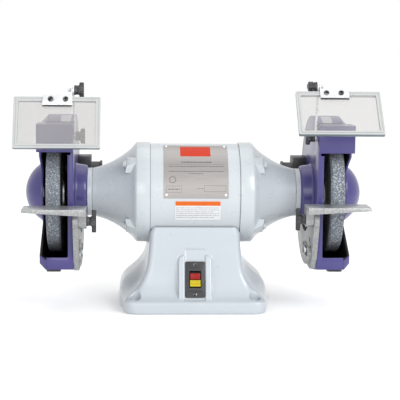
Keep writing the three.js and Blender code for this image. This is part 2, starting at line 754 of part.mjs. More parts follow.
// Half-moon casting on the guard's inner wall, with a long slot so it can slide out.
function restBracket() {
  const { y, z } = REST_PIVOT;
  const nose = 17;
  const inner = 88;
  const outer = 158;
  const shape = new THREE.Shape();
  shape.moveTo(-92, z + nose);
  shape.lineTo(y, z + nose);
  shape.absarc(y, z, nose, Math.PI / 2, radians(204));
  shape.lineTo(-119, -140);
  shape.quadraticCurveTo(-114, -151, -98, -152);
  shape.absarc(0, 0, outer, radians(255), radians(331));
  shape.lineTo(inner * Math.cos(radians(29)), -inner * Math.sin(radians(29)));
  shape.absarc(0, 0, inner, radians(331), radians(205), true);
  const plate = plateAcrossX(shape, BRACKET_START, BRACKET_END, 7);
  const face = BRACKET_START;
  const slotHeight = BRACKET_BOLT.z;
  const pad = plateAcrossX(obround(-100, -122, -20, -122, 15), face - 4, face + 1, 4);
  const slot = plateAcrossX(
    obround(-62, slotHeight, -20, slotHeight, 5), face - 5, BRACKET_END + 1, 4);
  const recess = plateAcrossX(
    obround(-78, slotHeight, -18, slotHeight, 11.5), face - 5, face + 2, 4);
  const studHole = rod(STUD_HOLE, face - 1, BRACKET_END + 1, y, z, 10);
  return cut(joined(plate, pad), slot, recess, studHole);
}

function bracketBolt() {
  const { y, z } = BRACKET_BOLT;
  const head = rod(8, BRACKET_START - 6, BRACKET_START + 2 - GAP, y, z, 6);
  const washer = rod(10, BRACKET_START + 0.2, BRACKET_START + 2 - GAP, y, z, 16);
  const shank = rod(STUD_RADIUS, BRACKET_START, WALL_START + GUARD_WALL + 5, y, z, 10);
  return joined(head, washer, shank);
}

// Table with a front rib that tapers to its free end, and an arm block for the clamp.
function toolRest() {
  const end = REST_START + REST_WIDTH;
  const back = 13.2;
  const front = back - REST_DEPTH;
  const table = block([REST_START, end], [front, back], [REST_TOP - 5, REST_TOP]);
  const ribOutline = outline([
    [REST_START, REST_TOP], [REST_START, REST_TOP - 13], [REST_START + 14, REST_TOP - 13],
    [end, REST_TOP - 6], [end, REST_TOP],
  ]);
  const rib = plateAcrossY(ribOutline, front, front + 7);
  const arm = new THREE.Shape();
  arm.moveTo(-15, REST_TOP - 1);
  arm.lineTo(-15, 0);
  arm.absarc(0, 0, 15, Math.PI, 2 * Math.PI);
  arm.lineTo(15, REST_TOP - 8);
  arm.lineTo(back, REST_TOP - 1);
  const armBlock = plateAcrossX(arm, REST_START, BRACKET_START - GAP, 8);
  const boltHole = rod(STUD_HOLE, REST_START - 1, BRACKET_START + 1, 0, 0, 10);
  return cut(joined(table, rib, armBlock), boltHole);
}

function addToolRest(head, { name, side, bracketShift }) {
  const slide = addGroup(head, 0, bracketShift);
  addMesh(slide, `tool_rest_bracket_${name}`, restBracket(), CAST_ALUMINIUM, side);
  addMesh(slide, `bracket_bolt_${name}`, bracketBolt(), STEEL, side);
  const tilt = addGroup(slide, REST_PIVOT.y, REST_PIVOT.z);
  addMesh(tilt, `tool_rest_${name}`, toolRest(), CAST_ALUMINIUM, side);
  const knob = clampKnob(REST_START - GAP, 46, 26, 90);
  addMesh(tilt, `tool_rest_knob_${name}`, knob, BLACK_PLASTIC, side);
}

// ---------------------------------------------------------------- eye shields

function shieldArm() {
  const bar = plateAcrossX(obround(0, 0, 0, ARM_LENGTH, 8), ARM_START, ARM_END, 5);
  const hole = (z) => rod(STUD_HOLE, ARM_START - 1, ARM_END + 1, 0, z, 10);
  return cut(bar, hole(0), hole(ARM_LENGTH));
}

// Plate on the shield's front edge with a side tab that the upper knob clamps.
function shieldClamp() {
  const tabStart = ARM_END + GAP;
  const plate = block([tabStart, CLAMP_END], [-9.7, -7], [-SHIELD_DROP - 19, 4 - SHIELD_DROP]);
  const tab = plateAcrossX(outline([
    [-9.7, 0.6 - SHIELD_DROP], [-4, 0.6 - SHIELD_DROP],
    [7, -6], [7, 6], [3, 8], [-4, 8], [-9.7, 2],
  ]), tabStart, tabStart + 2.5);
  const studHole = rod(STUD_HOLE, tabStart - 1, tabStart + 4, 0, 0, 10);
  return cut(joined(plate, tab), studHole);
}

// Clear pane in a raised border.
function eyeShield(centre) {
  const x0 = centre - SHIELD_WIDTH / 2;
  const x1 = centre + SHIELD_WIDTH / 2;
  const z1 = -SHIELD_DROP;
  const z0 = z1 - SHIELD_LENGTH;
  const border = 9;
  const frame = block([x0, x1], [-6.7, -0.7], [z0, z1]);
  const recess = [x0 + border, x1 - border];
  const front = block(recess, [-8, -5.2], [z0 + border, z1 - border]);
  const rear = block(recess, [-2.2, 1], [z0 + border, z1 - border]);
  return cut(frame, front, rear);
}

function addEyeShield(head, { name, side, armLean, shieldTilt, shieldCentre, upperKnobTurn }) {
  const lean = radians(armLean);
  const arm = addGroup(head, ARM_PIVOT.y, ARM_PIVOT.z, lean);
  addMesh(arm, `shield_arm_${name}`, shieldArm(), ZINC, side);
  const upper = addGroup(arm, 0, ARM_LENGTH, -radians(shieldTilt) - lean);
  addMesh(upper, `shield_clamp_${name}`, shieldClamp(), ZINC, side);
  addMesh(upper, `eye_shield_${name}`, eyeShield(shieldCentre), CLEAR_PLASTIC, side);
  const lowerKnob = clampKnob(ARM_START - GAP, 31, 9, 90 - armLean);
  addMesh(arm, `shield_knob_lower_${name}`, lowerKnob, BLACK_PLASTIC, side);
  const upperKnob = clampKnob(ARM_START - GAP, 31, 13.5, upperKnobTurn + shieldTilt);
  addMesh(upper, `shield_knob_upper_${name}`, upperKnob, BLACK_PLASTIC, side);
}

// ---------------------------------------------------------------- whole machine

function benchGrinder() {
  const grinder = new THREE.Group();
  addBase(grinder);
  addSwitch(grinder);
  const head = addGroup(grinder, 0, AXIS_HEIGHT);
  addMotor(head);
  for (const end of SIDES) {
    addWheel(head, end);
    addGuard(head, end);
    addToolRest(head, end);
    addEyeShield(head, end);
  }
  return grinder;
}

export default benchGrinder();
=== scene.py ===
"""Looks of the bench grinder: every visible piece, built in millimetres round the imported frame."""

import math
import random

import bmesh
import bpy
from mathutils import Matrix, Vector


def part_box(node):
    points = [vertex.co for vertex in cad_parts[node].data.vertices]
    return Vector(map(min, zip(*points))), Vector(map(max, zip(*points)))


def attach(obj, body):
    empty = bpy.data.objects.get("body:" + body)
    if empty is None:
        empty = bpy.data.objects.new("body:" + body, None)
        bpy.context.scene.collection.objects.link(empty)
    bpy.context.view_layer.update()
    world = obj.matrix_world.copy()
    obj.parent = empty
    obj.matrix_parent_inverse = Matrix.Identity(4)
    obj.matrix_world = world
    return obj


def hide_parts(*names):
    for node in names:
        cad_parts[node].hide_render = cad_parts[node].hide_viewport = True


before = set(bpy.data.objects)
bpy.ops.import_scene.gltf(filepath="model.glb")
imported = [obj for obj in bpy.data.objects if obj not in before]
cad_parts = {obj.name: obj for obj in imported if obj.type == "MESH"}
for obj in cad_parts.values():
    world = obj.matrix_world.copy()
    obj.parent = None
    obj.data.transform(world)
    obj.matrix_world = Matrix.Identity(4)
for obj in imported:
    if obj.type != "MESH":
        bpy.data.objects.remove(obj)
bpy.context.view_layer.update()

MM = 0.001
SCENE = bpy.context.scene
X, Y, Z = range(3)


def span(node, axis):
    """Lowest and highest millimetre of a node's box along an axis."""
    low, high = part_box(node)
    return round(low[axis] / MM, 1), round(high[axis] / MM, 1)


# Lengths are millimetres. The two ends mirror each other, so an end's places are those of the right one.
SIDES = (("left", -1), ("right", 1))
BARREL_LOW, BARREL_HIGH = span("stator_housing", Z)
AXIS = (BARREL_LOW + BARREL_HIGH) / 2  # height of the shaft
BARREL_RADIUS = (BARREL_HIGH - BARREL_LOW) / 2
BARREL_END = span("stator_housing", X)[1]
WRAP_RADIUS = BARREL_RADIUS + 0.3  # underside of the nameplate and the label
PRINT = 0.05  # thickness of printed marks
SHAFT_END = span("motor_shaft", X)[1]
WHEEL_NEAR, WHEEL_FAR = span("grinding_wheel_right", X)
WHEEL_RADIUS = span("grinding_wheel_right", Y)[1]
GUARD_NEAR, GUARD_FAR = span("inner_guard_right", X)
COVER_NEAR = span("outer_cover_right", X)[0]
GUARD_FRONT = -span("inner_guard_right", Y)[0]  # the guards' flat front, ahead of the shaft
GUARD_RADIUS = 164.0
GUARD_STEPS = 90
CHIN_SLOPE = 9.0
DOME_RADIUS = 62.0
DOME_RISE = 36.5
FAR = 200.0  # far end of a cutter
INLET_HEIGHT = sum(span("cord_gland", Z)) / 2
BENCH_HOLES = [(x, y) for x in (-124, 124) for y in (-116, 116)]
SWITCH_PLACE = (-109, 68)  # (y, z) of the switch's face
SWITCH_LEAN = -18
REST_PIVOT = (-143.0, -44.0)  # (y, z) from the shaft
REST_TOP = 29.5  # rest's surface over its pivot
BRACKET_SHIFT = {"left": 0.0, "right": 5.0}
BOLT_PLACE = (-55, -120)  # (y, z) of the bracket's bolt from the shaft
PIVOT_HOLE = 4.6  # radius of the holes for studs
ARM_PIVOT = (-85.0, 124.0)  # (y, z) from the shaft
ARM_LENGTH = 106
ARM_LEAN = {"left": 26.0, "right": 10.0}
SHIELD_TILT = {"left": 26.6, "right": 42.0}
SHIELD_LOW, SHIELD_HIGH = -128, -18  # below the shield's hinge
UPPER_KNOB_TURN = {"left": 90.0, "right": 0.0}
STICKER_START = {"left": 257, "right": 265}
CAST_ANGLE = 34  # edges sharper than this are rounded on castings


# ---- mesh building

def new_object(name, data):
    ob = bpy.data.objects.new(name, data)
    SCENE.collection.objects.link(ob)
    return ob


def new_solid(verts, faces):
    """Closed mesh object from millimetre corners, with its faces turned outwards."""
    mesh = bpy.data.meshes.new("solid")
    mesh.from_pydata([(x * MM, y * MM, z * MM) for x, y, z in verts], [], faces)
    bm = bmesh.new()
    bm.from_mesh(mesh)
    bmesh.ops.remove_doubles(bm, verts=bm.verts, dist=1e-7)
    bmesh.ops.recalc_face_normals(bm, faces=bm.faces)
    bm.to_mesh(mesh)
    bm.free()
    return new_object("solid", mesh)


def polar(radius, degrees):
    return radius * math.cos(math.radians(degrees)), radius * math.sin(math.radians(degrees))


def arc(u, v, radius, start, end, steps):
    """Points of an arc in degrees, both ends included."""
    angles = [math.radians(start + (end - start) * i / steps) for i in range(steps + 1)]
    return [(u + radius * math.cos(a), v + radius * math.sin(a)) for a in angles]


def circle(u, v, radius, steps=32):
    return arc(u, v, radius, 0, 360, steps)[:-1]


def hexagon(u, v, radius):
    """Hexagon with a corner at its top."""
    angles = [math.radians(60 * i) for i in range(6)]
    return [(u + radius * math.sin(a), v + radius * math.cos(a)) for a in angles]


def rounded(u0, u1, v0, v1, radius):
    """Rectangle with round corners."""
    lo_u, hi_u, lo_v, hi_v = u0 + radius, u1 - radius, v0 + radius, v1 - radius
    corners = ((hi_u, lo_v), (hi_u, hi_v), (lo_u, hi_v), (lo_u, lo_v))
    return [point for k, (u, v) in enumerate(corners)
            for point in arc(u, v, radius, 90 * k - 90, 90 * k, 6)]


def obround(u0, v0, u1, v1, radius, steps=12):
    """Bar with round ends centred on two points."""
    a = math.degrees(math.atan2(v1 - v0, u1 - u0))
    return arc(u1, v1, radius, a - 90, a + 90, steps) + arc(u0, v0, radius, a + 90, a + 270, steps)


def smooth_curve(points, steps=6):
    """Catmull-Rom curve through the points."""
    result = []
    for i in range(len(points) - 1):
        p = [Vector(points[max(0, min(len(points) - 1, i + k))]) for k in (-1, 0, 1, 2)]
        for s in range(steps):
            t = s / steps
            q = 0.5 * (2 * p[1] + (p[2] - p[0]) * t
                       + (2 * p[0] - 5 * p[1] + 4 * p[2] - p[3]) * t * t
                       + (3 * p[1] - p[0] - 3 * p[2] + p[3]) * t ** 3)
            result.append(tuple(q))
    return result + [tuple(points[-1])]


def loft(rings):
    """Closed skin through rings that match corner for corner."""
    n = len(rings[0])
    verts = [v for ring in rings for v in ring]
    faces = [list(range(n)), [len(verts) - n + i for i in range(n)]]
    for k in range(len(rings) - 1):
        for i in range(n):
            j = (i + 1) % n
            faces.append([k * n + i, k * n + j, (k + 1) * n + j, (k + 1) * n + i])
    return new_solid(verts, faces)


ACROSS = {"x": lambda u, v, w: (w, u, v), "y": lambda u, v, w: (u, w, v), "z": lambda u, v, w: (u, v, w)}


def plate(outline, lo, hi, axis="x"):
    """Prism of an outline pushed along an axis: (y, z) for x, (x, z) for y, (x, y) for z."""
    return loft([[ACROSS[axis](u, v, w) for u, v in outline] for w in (lo, hi)])


def block(xs, ys, zs):
    return plate([(xs[0], ys[0]), (xs[1], ys[0]), (xs[1], ys[1]), (xs[0], ys[1])], zs[0], zs[1], "z")


def lathe(profile, segments=96, y=0.0, z=0.0):
    """Solid turned about an X axis through (y, z); a profile of (x, radius) off the axis is closed."""
    verts, rings = [], []
    for x, r in profile:
        if r <= 1e-6:
            rings.append([len(verts)] * segments)
            verts.append((x, y, z))
            continue
        rings.append([len(verts) + i for i in range(segments)])
        for i in range(segments):
            a = 2 * math.pi * i / segments
            verts.append((x, y + r * math.cos(a), z + r * math.sin(a)))
    pairs = list(zip(rings, rings[1:]))
    if profile[0][1] > 0 or profile[-1][1] > 0:
        pairs.append((rings[-1], rings[0]))
    faces = []
    for p, q in pairs:
        for i in range(segments):
            j = (i + 1) % segments
            face = list(dict.fromkeys((p[i], p[j], q[j], q[i])))
            if len(face) > 2:
                faces.append(face)
    return new_solid(verts, faces)


def rod(radius, x0, x1, y=0.0, z=0.0, segments=32):
    return lathe([(x0, 0), (x0, radius), (x1, radius), (x1, 0)], segments, y, z)


def baked(ob):
    """Replaces an object's mesh by what its modifiers make of it."""
    graph = bpy.context.evaluated_depsgraph_get()
    mesh = bpy.data.meshes.new_from_object(ob.evaluated_get(graph))
    ob.modifiers.clear()
    ob.data = mesh
    return ob


def boolean(ob, operation, tools):
    for tool in tools:
        mod = ob.modifiers.new("boolean", "BOOLEAN")
        mod.operation = operation
        mod.solver = "MANIFOLD"
        mod.object = tool
        baked(ob)
        bpy.data.objects.remove(tool)
    return ob


def carved(ob, *tools):
    return boolean(ob, "DIFFERENCE", tools)


def fused(ob, *others):
    return boolean(ob, "UNION", others)


def common(ob, *others):
    return boolean(ob, "INTERSECT", others)


def together(obs):
    """One object from several, without joining their skins."""
    bm = bmesh.new()
    for ob in obs:
        bm.from_mesh(ob.data)
        if ob is not obs[0]:
            bpy.data.objects.remove(ob)
    bm.to_mesh(obs[0].data)
    bm.free()
    return obs[0]


def turned(ob, degrees, axis):
    ob.data.transform(Matrix.Rotation(math.radians(degrees), 4, axis))
    return ob


def moved(ob, y, z, turn=0.0, x=0.0):
    """Turns an object about the X axis through the origin, then shifts it."""
    place = Matrix.Translation((x * MM, y * MM, z * MM))
    ob.data.transform(place @ Matrix.Rotation(math.radians(turn), 4, "X"))
    return ob


def on_side(ob, side):
    """Mirrors a piece of the right end for the left one."""
    if side < 0:
        ob.data.transform(Matrix.Scale(-1, 4, (1, 0, 0)))
        ob.data.flip_normals()
    return ob


def on_shaft(ob, side=1):
    """Lifts a piece built round the X axis to the shaft's height, on its side."""
    return moved(on_side(ob, side), 0, AXIS)


def softened(ob, width, segments=2, angle=32):
    """Rounds the edges that turn by more than an angle."""
    mod = ob.modifiers.new("bevel", "BEVEL")
    mod.width = width * MM
    mod.segments = segments
    mod.limit_method = "ANGLE"
    mod.angle_limit = math.radians(angle)
    return baked(ob)


def remeshed(ob, voxel, smoothing, keep):
    """Cast look: one skin with every inside and outside edge rounded."""
    mod = ob.modifiers.new("remesh", "REMESH")
    mod.mode = "VOXEL"
    mod.voxel_size = voxel * MM
    mod = ob.modifiers.new("smooth", "SMOOTH")
    mod.factor = 0.5
    mod.iterations = smoothing
    mod = ob.modifiers.new("thin", "DECIMATE")
    mod.ratio = keep
    return baked(ob)


def piece(ob, name, body, looks, replaces=(), angle=38):
    """Names a finished object, gives it its look or looks and sets it riding on its body."""
    ob.name = name
    ob.data.name = name
    ob.data.materials.clear()
    for look in [looks] if isinstance(looks, str) else looks:
        ob.data.materials.append(LOOK[look])
    ob.data.shade_smooth()
    ob.data.set_sharp_from_angle(angle=math.radians(angle))
    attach(ob, body)
    if replaces:
        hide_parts(*replaces)
    return ob


# ---- materials

def linear(r, g, b):
    """Linear colour of 0-255 display values."""
    def one(v):
        v = v / 255
        return v / 12.92 if v <= 0.04045 else ((v + 0.055) / 1.055) ** 2.4
    return (one(r), one(g), one(b), 1.0)


class Surface:
    """A Principled material with helpers for procedural detail in object space, whose unit is the metre."""

    def __init__(self, name, color, roughness, metallic=0.0):
        self.material = bpy.data.materials.new(name)
        self.material.use_nodes = True
        self.tree = self.material.node_tree
        self.shader = self.tree.nodes["Principled BSDF"]
        self.color = color
        self.roughness = roughness
        self.set("Base Color", color)
        self.set("Roughness", roughness)
        self.set("Metallic", metallic)
        self.coordinates = self.add("ShaderNodeTexCoord").outputs["Object"]
        self.height = None

    def feed(self, socket, value):
        """Links a node's output to a socket, or sets the socket to a constant."""
        if isinstance(value, bpy.types.NodeSocket):
            self.tree.links.new(value, socket)
        else:
            socket.default_value = value

    def set(self, socket, value):
        self.feed(self.shader.inputs[socket], value)

    def add(self, kind, **inputs):
        node = self.tree.nodes.new(kind)
        for key, value in inputs.items():
            self.feed(node.inputs[key], value)
        return node

    def noise(self, scale, detail=3.0, stretch=(1, 1, 1)):
        mapping = self.add("ShaderNodeMapping", Scale=stretch, Vector=self.coordinates)
        node = self.add("ShaderNodeTexNoise", Scale=scale, Detail=detail, Roughness=0.55,
                        Vector=mapping.outputs[0])
        return node.outputs["Fac"]

    def grains(self, scale):
        node = self.add("ShaderNodeTexVoronoi", Scale=scale, Vector=self.coordinates)
        return node.outputs["Color"], node.outputs["Distance"]

    def ramp(self, value, stops):
        node = self.add("ShaderNodeValToRGB", Fac=value)
        elements = node.color_ramp.elements
        while len(elements) < len(stops):
            elements.new(0.5)
        for element, (position, color) in zip(elements, stops):
            element.position = position
            element.color = color
        return node.outputs["Color"]

    def range(self, value, lo, hi, low=0.3, high=0.7):
        """Stretches low..high of a value to lo..hi."""
        limits = {"From Min": low, "From Max": high, "To Min": lo, "To Max": hi}
        return self.add("ShaderNodeMapRange", Value=value, **limits).outputs["Result"]

    def mix(self, factor, a, b):
        """Colour between two, each a colour or a node's output."""
        node = self.add("ShaderNodeMix")
        node.data_type = "RGBA"
        colors = [s for s in node.inputs if s.type == "RGBA"]
        for socket, value in zip([node.inputs["Factor"], *colors], (factor, a, b)):
            self.feed(socket, value)
        return [s for s in node.outputs if s.type == "RGBA"][0]

    def tint(self, value, spread):
        """Base colour drifting a little either way with a 0-1 value."""
        darker = tuple(c * (1 - spread) for c in self.color[:3]) + (1,)
        lighter = tuple(min(1, c * (1 + spread)) for c in self.color[:3]) + (1,)
        self.set("Base Color", self.ramp(value, [(0.3, darker), (0.7, lighter)]))

    def vary_roughness(self, value, spread):
        self.set("Roughness", self.range(value, self.roughness - spread, self.roughness + spread))

    def bump(self, value, depth_mm):
        """Adds relief on top of any that is there."""
        node = self.add("ShaderNodeBump", Distance=depth_mm * MM, Height=value)
        if self.height is not None:
            self.feed(node.inputs["Normal"], self.height)
        self.height = node.outputs["Normal"]
        self.set("Normal", self.height)

    def worn_and_highlit_edges(self, color, amount):
        """Sharp outside edges lightened to another colour, broken up by noise: partly rubbed wear, partly a
        painted highlight.
        """
        edge = self.add("ShaderNodeNewGeometry").outputs["Pointiness"]
        mask = self.range(edge, 0, amount, 0.53, 0.6)
        broken = self.add("ShaderNodeMath")
        broken.operation = "MULTIPLY"
        self.feed(broken.inputs[0], mask)
        self.feed(broken.inputs[1], self.range(self.noise(260, 4), 0, 1, 0.4, 0.6))
        base = self.shader.inputs["Base Color"].links[0].from_socket
        self.set("Base Color", self.mix(broken.outputs[0], base, color))


def cast_paint(name, color, peel, roughness=0.3):
    """Glossy paint with an orange peel, given as its depth in millimetres, over a casting."""
    s = Surface(name, color, roughness)
    s.set("Coat Weight", 0.35)
    s.set("Coat Roughness", 0.12)
    s.tint(s.noise(9, 4), 0.025)
    s.vary_roughness(s.noise(60), 0.05)
    s.bump(s.noise(110, 1), peel)
    s.bump(s.noise(420, 1), peel * 0.15)
    return s


def guard_paint():
    s = cast_paint("paint_purple", linear(56, 51, 108), 0.015, 0.32)
    s.set("Specular IOR Level", 0.35)
    return s


# Near-black inside of the guards: partly their dark paint, partly painted shade of the deep inside.
def guard_inside_dark_and_shade():
    s = Surface("guard_inside", linear(16, 16, 19), 0.6)
    s.tint(s.noise(30, 4), 0.3)
    s.bump(s.noise(160), 0.15)
    return s


def abrasive():
    """Grey grit: coloured grains with a finer grit between them."""
    s = Surface("abrasive", linear(126, 133, 142), 0.92)
    color, distance = s.grains(560)
    speck = s.add("ShaderNodeSeparateColor", Color=color)
    grit = s.ramp(speck.outputs[0], [
        (0.0, linear(22, 25, 31)), (0.25, linear(54, 59, 68)), (0.55, linear(90, 97, 107)),
        (0.82, linear(132, 140, 149)), (1.0, linear(214, 219, 224))])
    fine = s.ramp(s.noise(1300), [(0.3, linear(40, 45, 54)), (0.7, linear(166, 172, 180))])
    s.set("Base Color", s.mix(s.range(s.noise(700, 2), 0.25, 0.75), grit, fine))
    s.bump(distance, 0.6)
    s.bump(s.noise(1200, 2), 0.3)
    return s


def blotter_card():
    s = Surface("blotter_card", linear(150, 152, 150), 0.85)
    s.tint(s.noise(300, 4), 0.12)
    s.bump(s.noise(900, 2), 0.04)
    return s


def machined_steel():
    s = Surface("machined_steel", linear(190, 192, 195), 0.3, 1.0)
    s.tint(s.noise(40), 0.08)
    s.vary_roughness(s.noise(900, 2, (1, 0.06, 0.06)), 0.08)
    s.bump(s.noise(1500, 1, (1, 0.02, 0.02)), 0.02)
    return s


def zinc_plating():
    s = Surface("zinc_plate", linear(222, 224, 226), 0.28, 0.65)
    s.tint(s.noise(70, 4), 0.10)
    s.vary_roughness(s.noise(160, 4), 0.1)
    s.bump(s.noise(500, 2), 0.02)
    return s


def cast_aluminium():
    s = Surface("cast_aluminium", linear(134, 136, 136), 0.42, 0.55)
    s.tint(s.noise(35, 5), 0.10)
    s.vary_roughness(s.noise(220), 0.08)
    s.bump(s.noise(600), 0.10)
    # Lighter edges, partly wear and partly a painted highlight.
    s.worn_and_highlit_edges(linear(226, 227, 228), 0.6)
    return s


def ground_aluminium():
    s = Surface("ground_aluminium", linear(160, 163, 164), 0.34, 0.7)
    s.tint(s.noise(260, 3, (0.04, 1, 1)), 0.10)
    s.bump(s.noise(1400, 2, (0.02, 1, 1)), 0.03)
    return s


def black_plastic():
    s = Surface("black_plastic", linear(34, 34, 37), 0.42)
    s.tint(s.noise(80), 0.15)
    s.vary_roughness(s.noise(90), 0.06)
    s.bump(s.noise(1300, 2), 0.05)
    # Lighter edges, partly wear and partly a painted highlight.
    s.worn_and_highlit_edges(linear(88, 88, 90), 0.5)
    return s


def black_oxide():
    s = Surface("black_oxide", linear(34, 34, 37), 0.35, 0.8)
    s.tint(s.noise(200), 0.2)
    # Lighter edges, partly wear and partly a painted highlight.
    s.worn_and_highlit_edges(linear(190, 190, 192), 0.8)
    return s


def brushed_plate():
    s = Surface("plate_metal", linear(150, 146, 144), 0.36, 0.5)
    s.tint(s.noise(900, 2, (0.03, 1, 1)), 0.06)
    s.vary_roughness(s.noise(700, 2, (0.04, 1, 1)), 0.06)
    s.bump(s.noise(1800, 1, (0.02, 1, 1)), 0.01)
    return s


def copper_windings():
    s = Surface("copper_windings", linear(170, 96, 52), 0.4, 0.8)
    s.tint(s.noise(500, 2, (0.05, 1, 1)), 0.2)
    s.bump(s.noise(700, 1, (0.03, 1, 1)), 0.4)
    return s


def flat_colour(name, color, roughness):
    """Print, film or moulded plastic of one colour."""
    s = Surface(name, linear(*color), roughness)
    s.set("Specular IOR Level", 0.25)
    s.tint(s.noise(140), 0.05)
    s.vary_roughness(s.noise(220, 2), 0.06)
    s.bump(s.noise(700, 2), 0.012)
    return s


def shield_rim():
    s = Surface("shield_rim", linear(178, 180, 180), 0.24)
    s.tint(s.noise(25, 2), 0.03)
    s.bump(s.noise(300, 2), 0.02)
    s.set("Alpha", 0.85)
    return s


def shield_edge():
    s = Surface("shield_rim_edge", linear(96, 106, 112), 0.18)
    s.tint(s.noise(25, 2), 0.05)
    return s


# Pale veil on the clear pane: partly the plastic's own haze, partly a painted reflection of the bright
# surroundings.
def shield_pane(name, alpha):
    s = Surface(name, linear(160, 158, 157), 0.12)
    s.tint(s.noise(12, 2), 0.015)
    s.vary_roughness(s.noise(30), 0.04)
    s.set("Alpha", alpha)
    return s


SURFACES = {
    "grey": cast_paint("paint_grey", linear(172, 178, 182), 0.03),
    "grey_cast": cast_paint("paint_grey_cast", linear(168, 175, 181), 0.12, 0.32),
    "purple": guard_paint(),
    "inside": guard_inside_dark_and_shade(),
    "abrasive": abrasive(),
    "card": blotter_card(),
    "steel": machined_steel(),
    "zinc": zinc_plating(),
    "aluminium": cast_aluminium(),
    "ground": ground_aluminium(),
    "black": black_plastic(),
    "oxide": black_oxide(),
    "plate": brushed_plate(),
    "orange": flat_colour("print_orange", (176, 42, 10), 0.5),
    "amber": flat_colour("print_amber", (190, 88, 20), 0.5),
    "ink": flat_colour("print_ink", (70, 70, 74), 0.5),
    "paper": flat_colour("label_film", (192, 194, 196), 0.5),
    "pale": flat_colour("sticker_film", (176, 176, 180), 0.4),
    "red": flat_colour("rocker_red", (132, 14, 8), 0.32),
    "yellow": flat_colour("key_yellow", (176, 158, 22), 0.34),
    "copper": copper_windings(),
    "rim": shield_rim(),
    "edge": shield_edge(),
    # Both panes are one plastic; their veils differ in strength as painted light, for how light falls on
    # each.
    "pane_left": shield_pane("shield_pane_left", 0.37),
    "pane_right": shield_pane("shield_pane_right", 0.27)}
LOOK = {key: surface.material for key, surface in SURFACES.items()}


# ---- base

# Half widths in front and behind, and half depth, as (value, height).
FRONT_WIDTH = smooth_curve([
    (145, 0), (147, 4), (147, 20), (145, 27), (139, 33), (128, 42), (115, 56),
    (105, 74), (99.5, 95), (96.5, 118), (94.5, 146), (93.6, 160), (91.6, 169), (86.5, 176)])
REAR_WIDTH = smooth_curve([
    (155, 0), (157, 4), (157.5, 20), (157, 30), (154.5, 40), (149.5, 50), (142, 58),
    (133, 66), (123, 75), (113, 86), (105.5, 99), (101, 116), (97, 146), (95, 162), (90, 176)])
DEPTH = smooth_curve([
    (134, 0), (136, 4), (136, 21), (134, 25), (127, 28.5), (116, 36), (107, 50),
    (101, 68), (97, 88), (93.5, 116), (90, 146), (87, 176)])


def curve_at(points, z):
    """First value of a (value, z) curve at a height."""
    for (v0, z0), (v1, z1) in zip(points, points[1:]):
        if z <= z1:
            return v0 + (v1 - v0) * max(0.0, (z - z0) / (z1 - z0))
    return points[-1][0]


def base_ring(z):
    """Outline of the base at a height: wider behind than in front, with round corners."""
    front, rear, depth = (curve_at(curve, z) for curve in (FRONT_WIDTH, REAR_WIDTH, DEPTH))
    corner = 12 + 16 * max(0.0, 1 - z / 60)

    def width(y):
        t = min(1.0, max(0.0, (y + depth - corner) / (depth - corner)))
        return front + (rear - front) * t * t * (3 - 2 * t)

    outline = [((front - corner) * i / 8, -depth) for i in range(8)]
    outline += arc(front - corner, corner - depth, corner, -90, 0, 8)
    places = [corner - depth + 2 * (depth - corner) * i / 14 for i in range(1, 14)]
    outline += [(width(y), y) for y in places]
    outline += arc(rear - corner, depth - corner, corner, 0, 90, 8)
    outline += [((rear - corner) * (1 - i / 8), depth) for i in range(1, 9)]
    return outline + [(-x, y) for x, y in reversed(outline[1:-1])]


def at_switch(ob):
    """Puts an object built with the switch's face at y 0 on the sloping front of the base."""
    return moved(ob, *SWITCH_PLACE, SWITCH_LEAN)


def build_base():
    levels = [0, 2, 4, 12, 18, 20, 22, 24, 25, 26, 27, 28, 29, 30, 32, 34, 36, 39, 42, 45, 48, 52, 56,
              60, 65, 70, 76, 82, 90, 98, 106, 116, 126, 138, 150, 162, 174]
    body = loft([[(x, y, z) for x, y in base_ring(z)] for z in levels])
    box = at_switch(plate(rounded(-34, 34, -50, 50, 9), -4, 40, "y"))
    box = common(box, block((-60, 60), (-134, -40), (12, 170)))
    boss = plate(circle(0, INLET_HEIGHT, 19), 85, 112, "y")
    body = fused(body, box, boss)
    recess = at_switch(block((-21.7, 21.7), (-40, 0), (-44, 64)))
    body = carved(body, recess)
    body = carved(body, rod(BARREL_RADIUS + 0.4, -FAR, FAR, 0, AXIS, 160))
    bell_seat = BARREL_END - 0.4
    for x0, x1 in ((bell_seat, FAR), (-FAR, -bell_seat)):
        body = carved(body, rod(BARREL_RADIUS + 4, x0, x1, 0, AXIS, 128))
    for x, y in BENCH_HOLES:
        body = carved(body, plate(circle(x, y, 11.5), 21.5, 80, "z"))
    body = remeshed(body, voxel=1.7, smoothing=5, keep=0.30)
    for x, y in BENCH_HOLES:
        body = carved(body, plate(circle(x, y, 5.5, 24), -5, 30, "z"))
    seat = plate(rounded(-138.3, 138.3, -94.3, 94.3, 12), -5, 3.3, "z")
    pocket = at_switch(block((-17, 17), (-6, 40), (-27, 27)))
    inlet = plate(circle(0, INLET_HEIGHT, 11.3), 60, 130, "y")
    body = carved(body, seat, pocket, inlet)
    piece(body, "base_shell", "frame", "grey_cast", ["base_casting"], 50)


def build_gland():
    body = lathe([(82, 5), (82, 10.8), (112.3, 10.8), (112.3, 14.5), (116, 14.5), (117, 13), (119, 13),
                  (122, 9.5), (122, 5)], 48)
    ribs = [turned(block((112.8, 117.5), (13.2, 14.9), (-1.4, 1.4)), 30 * k, "X") for k in range(12)]
    body = moved(turned(together([body] + ribs), 90, "Z"), 0, INLET_HEIGHT)
    piece(body, "cord_gland_nut", "frame", "black", ["cord_gland"], 30)


# ---- switch

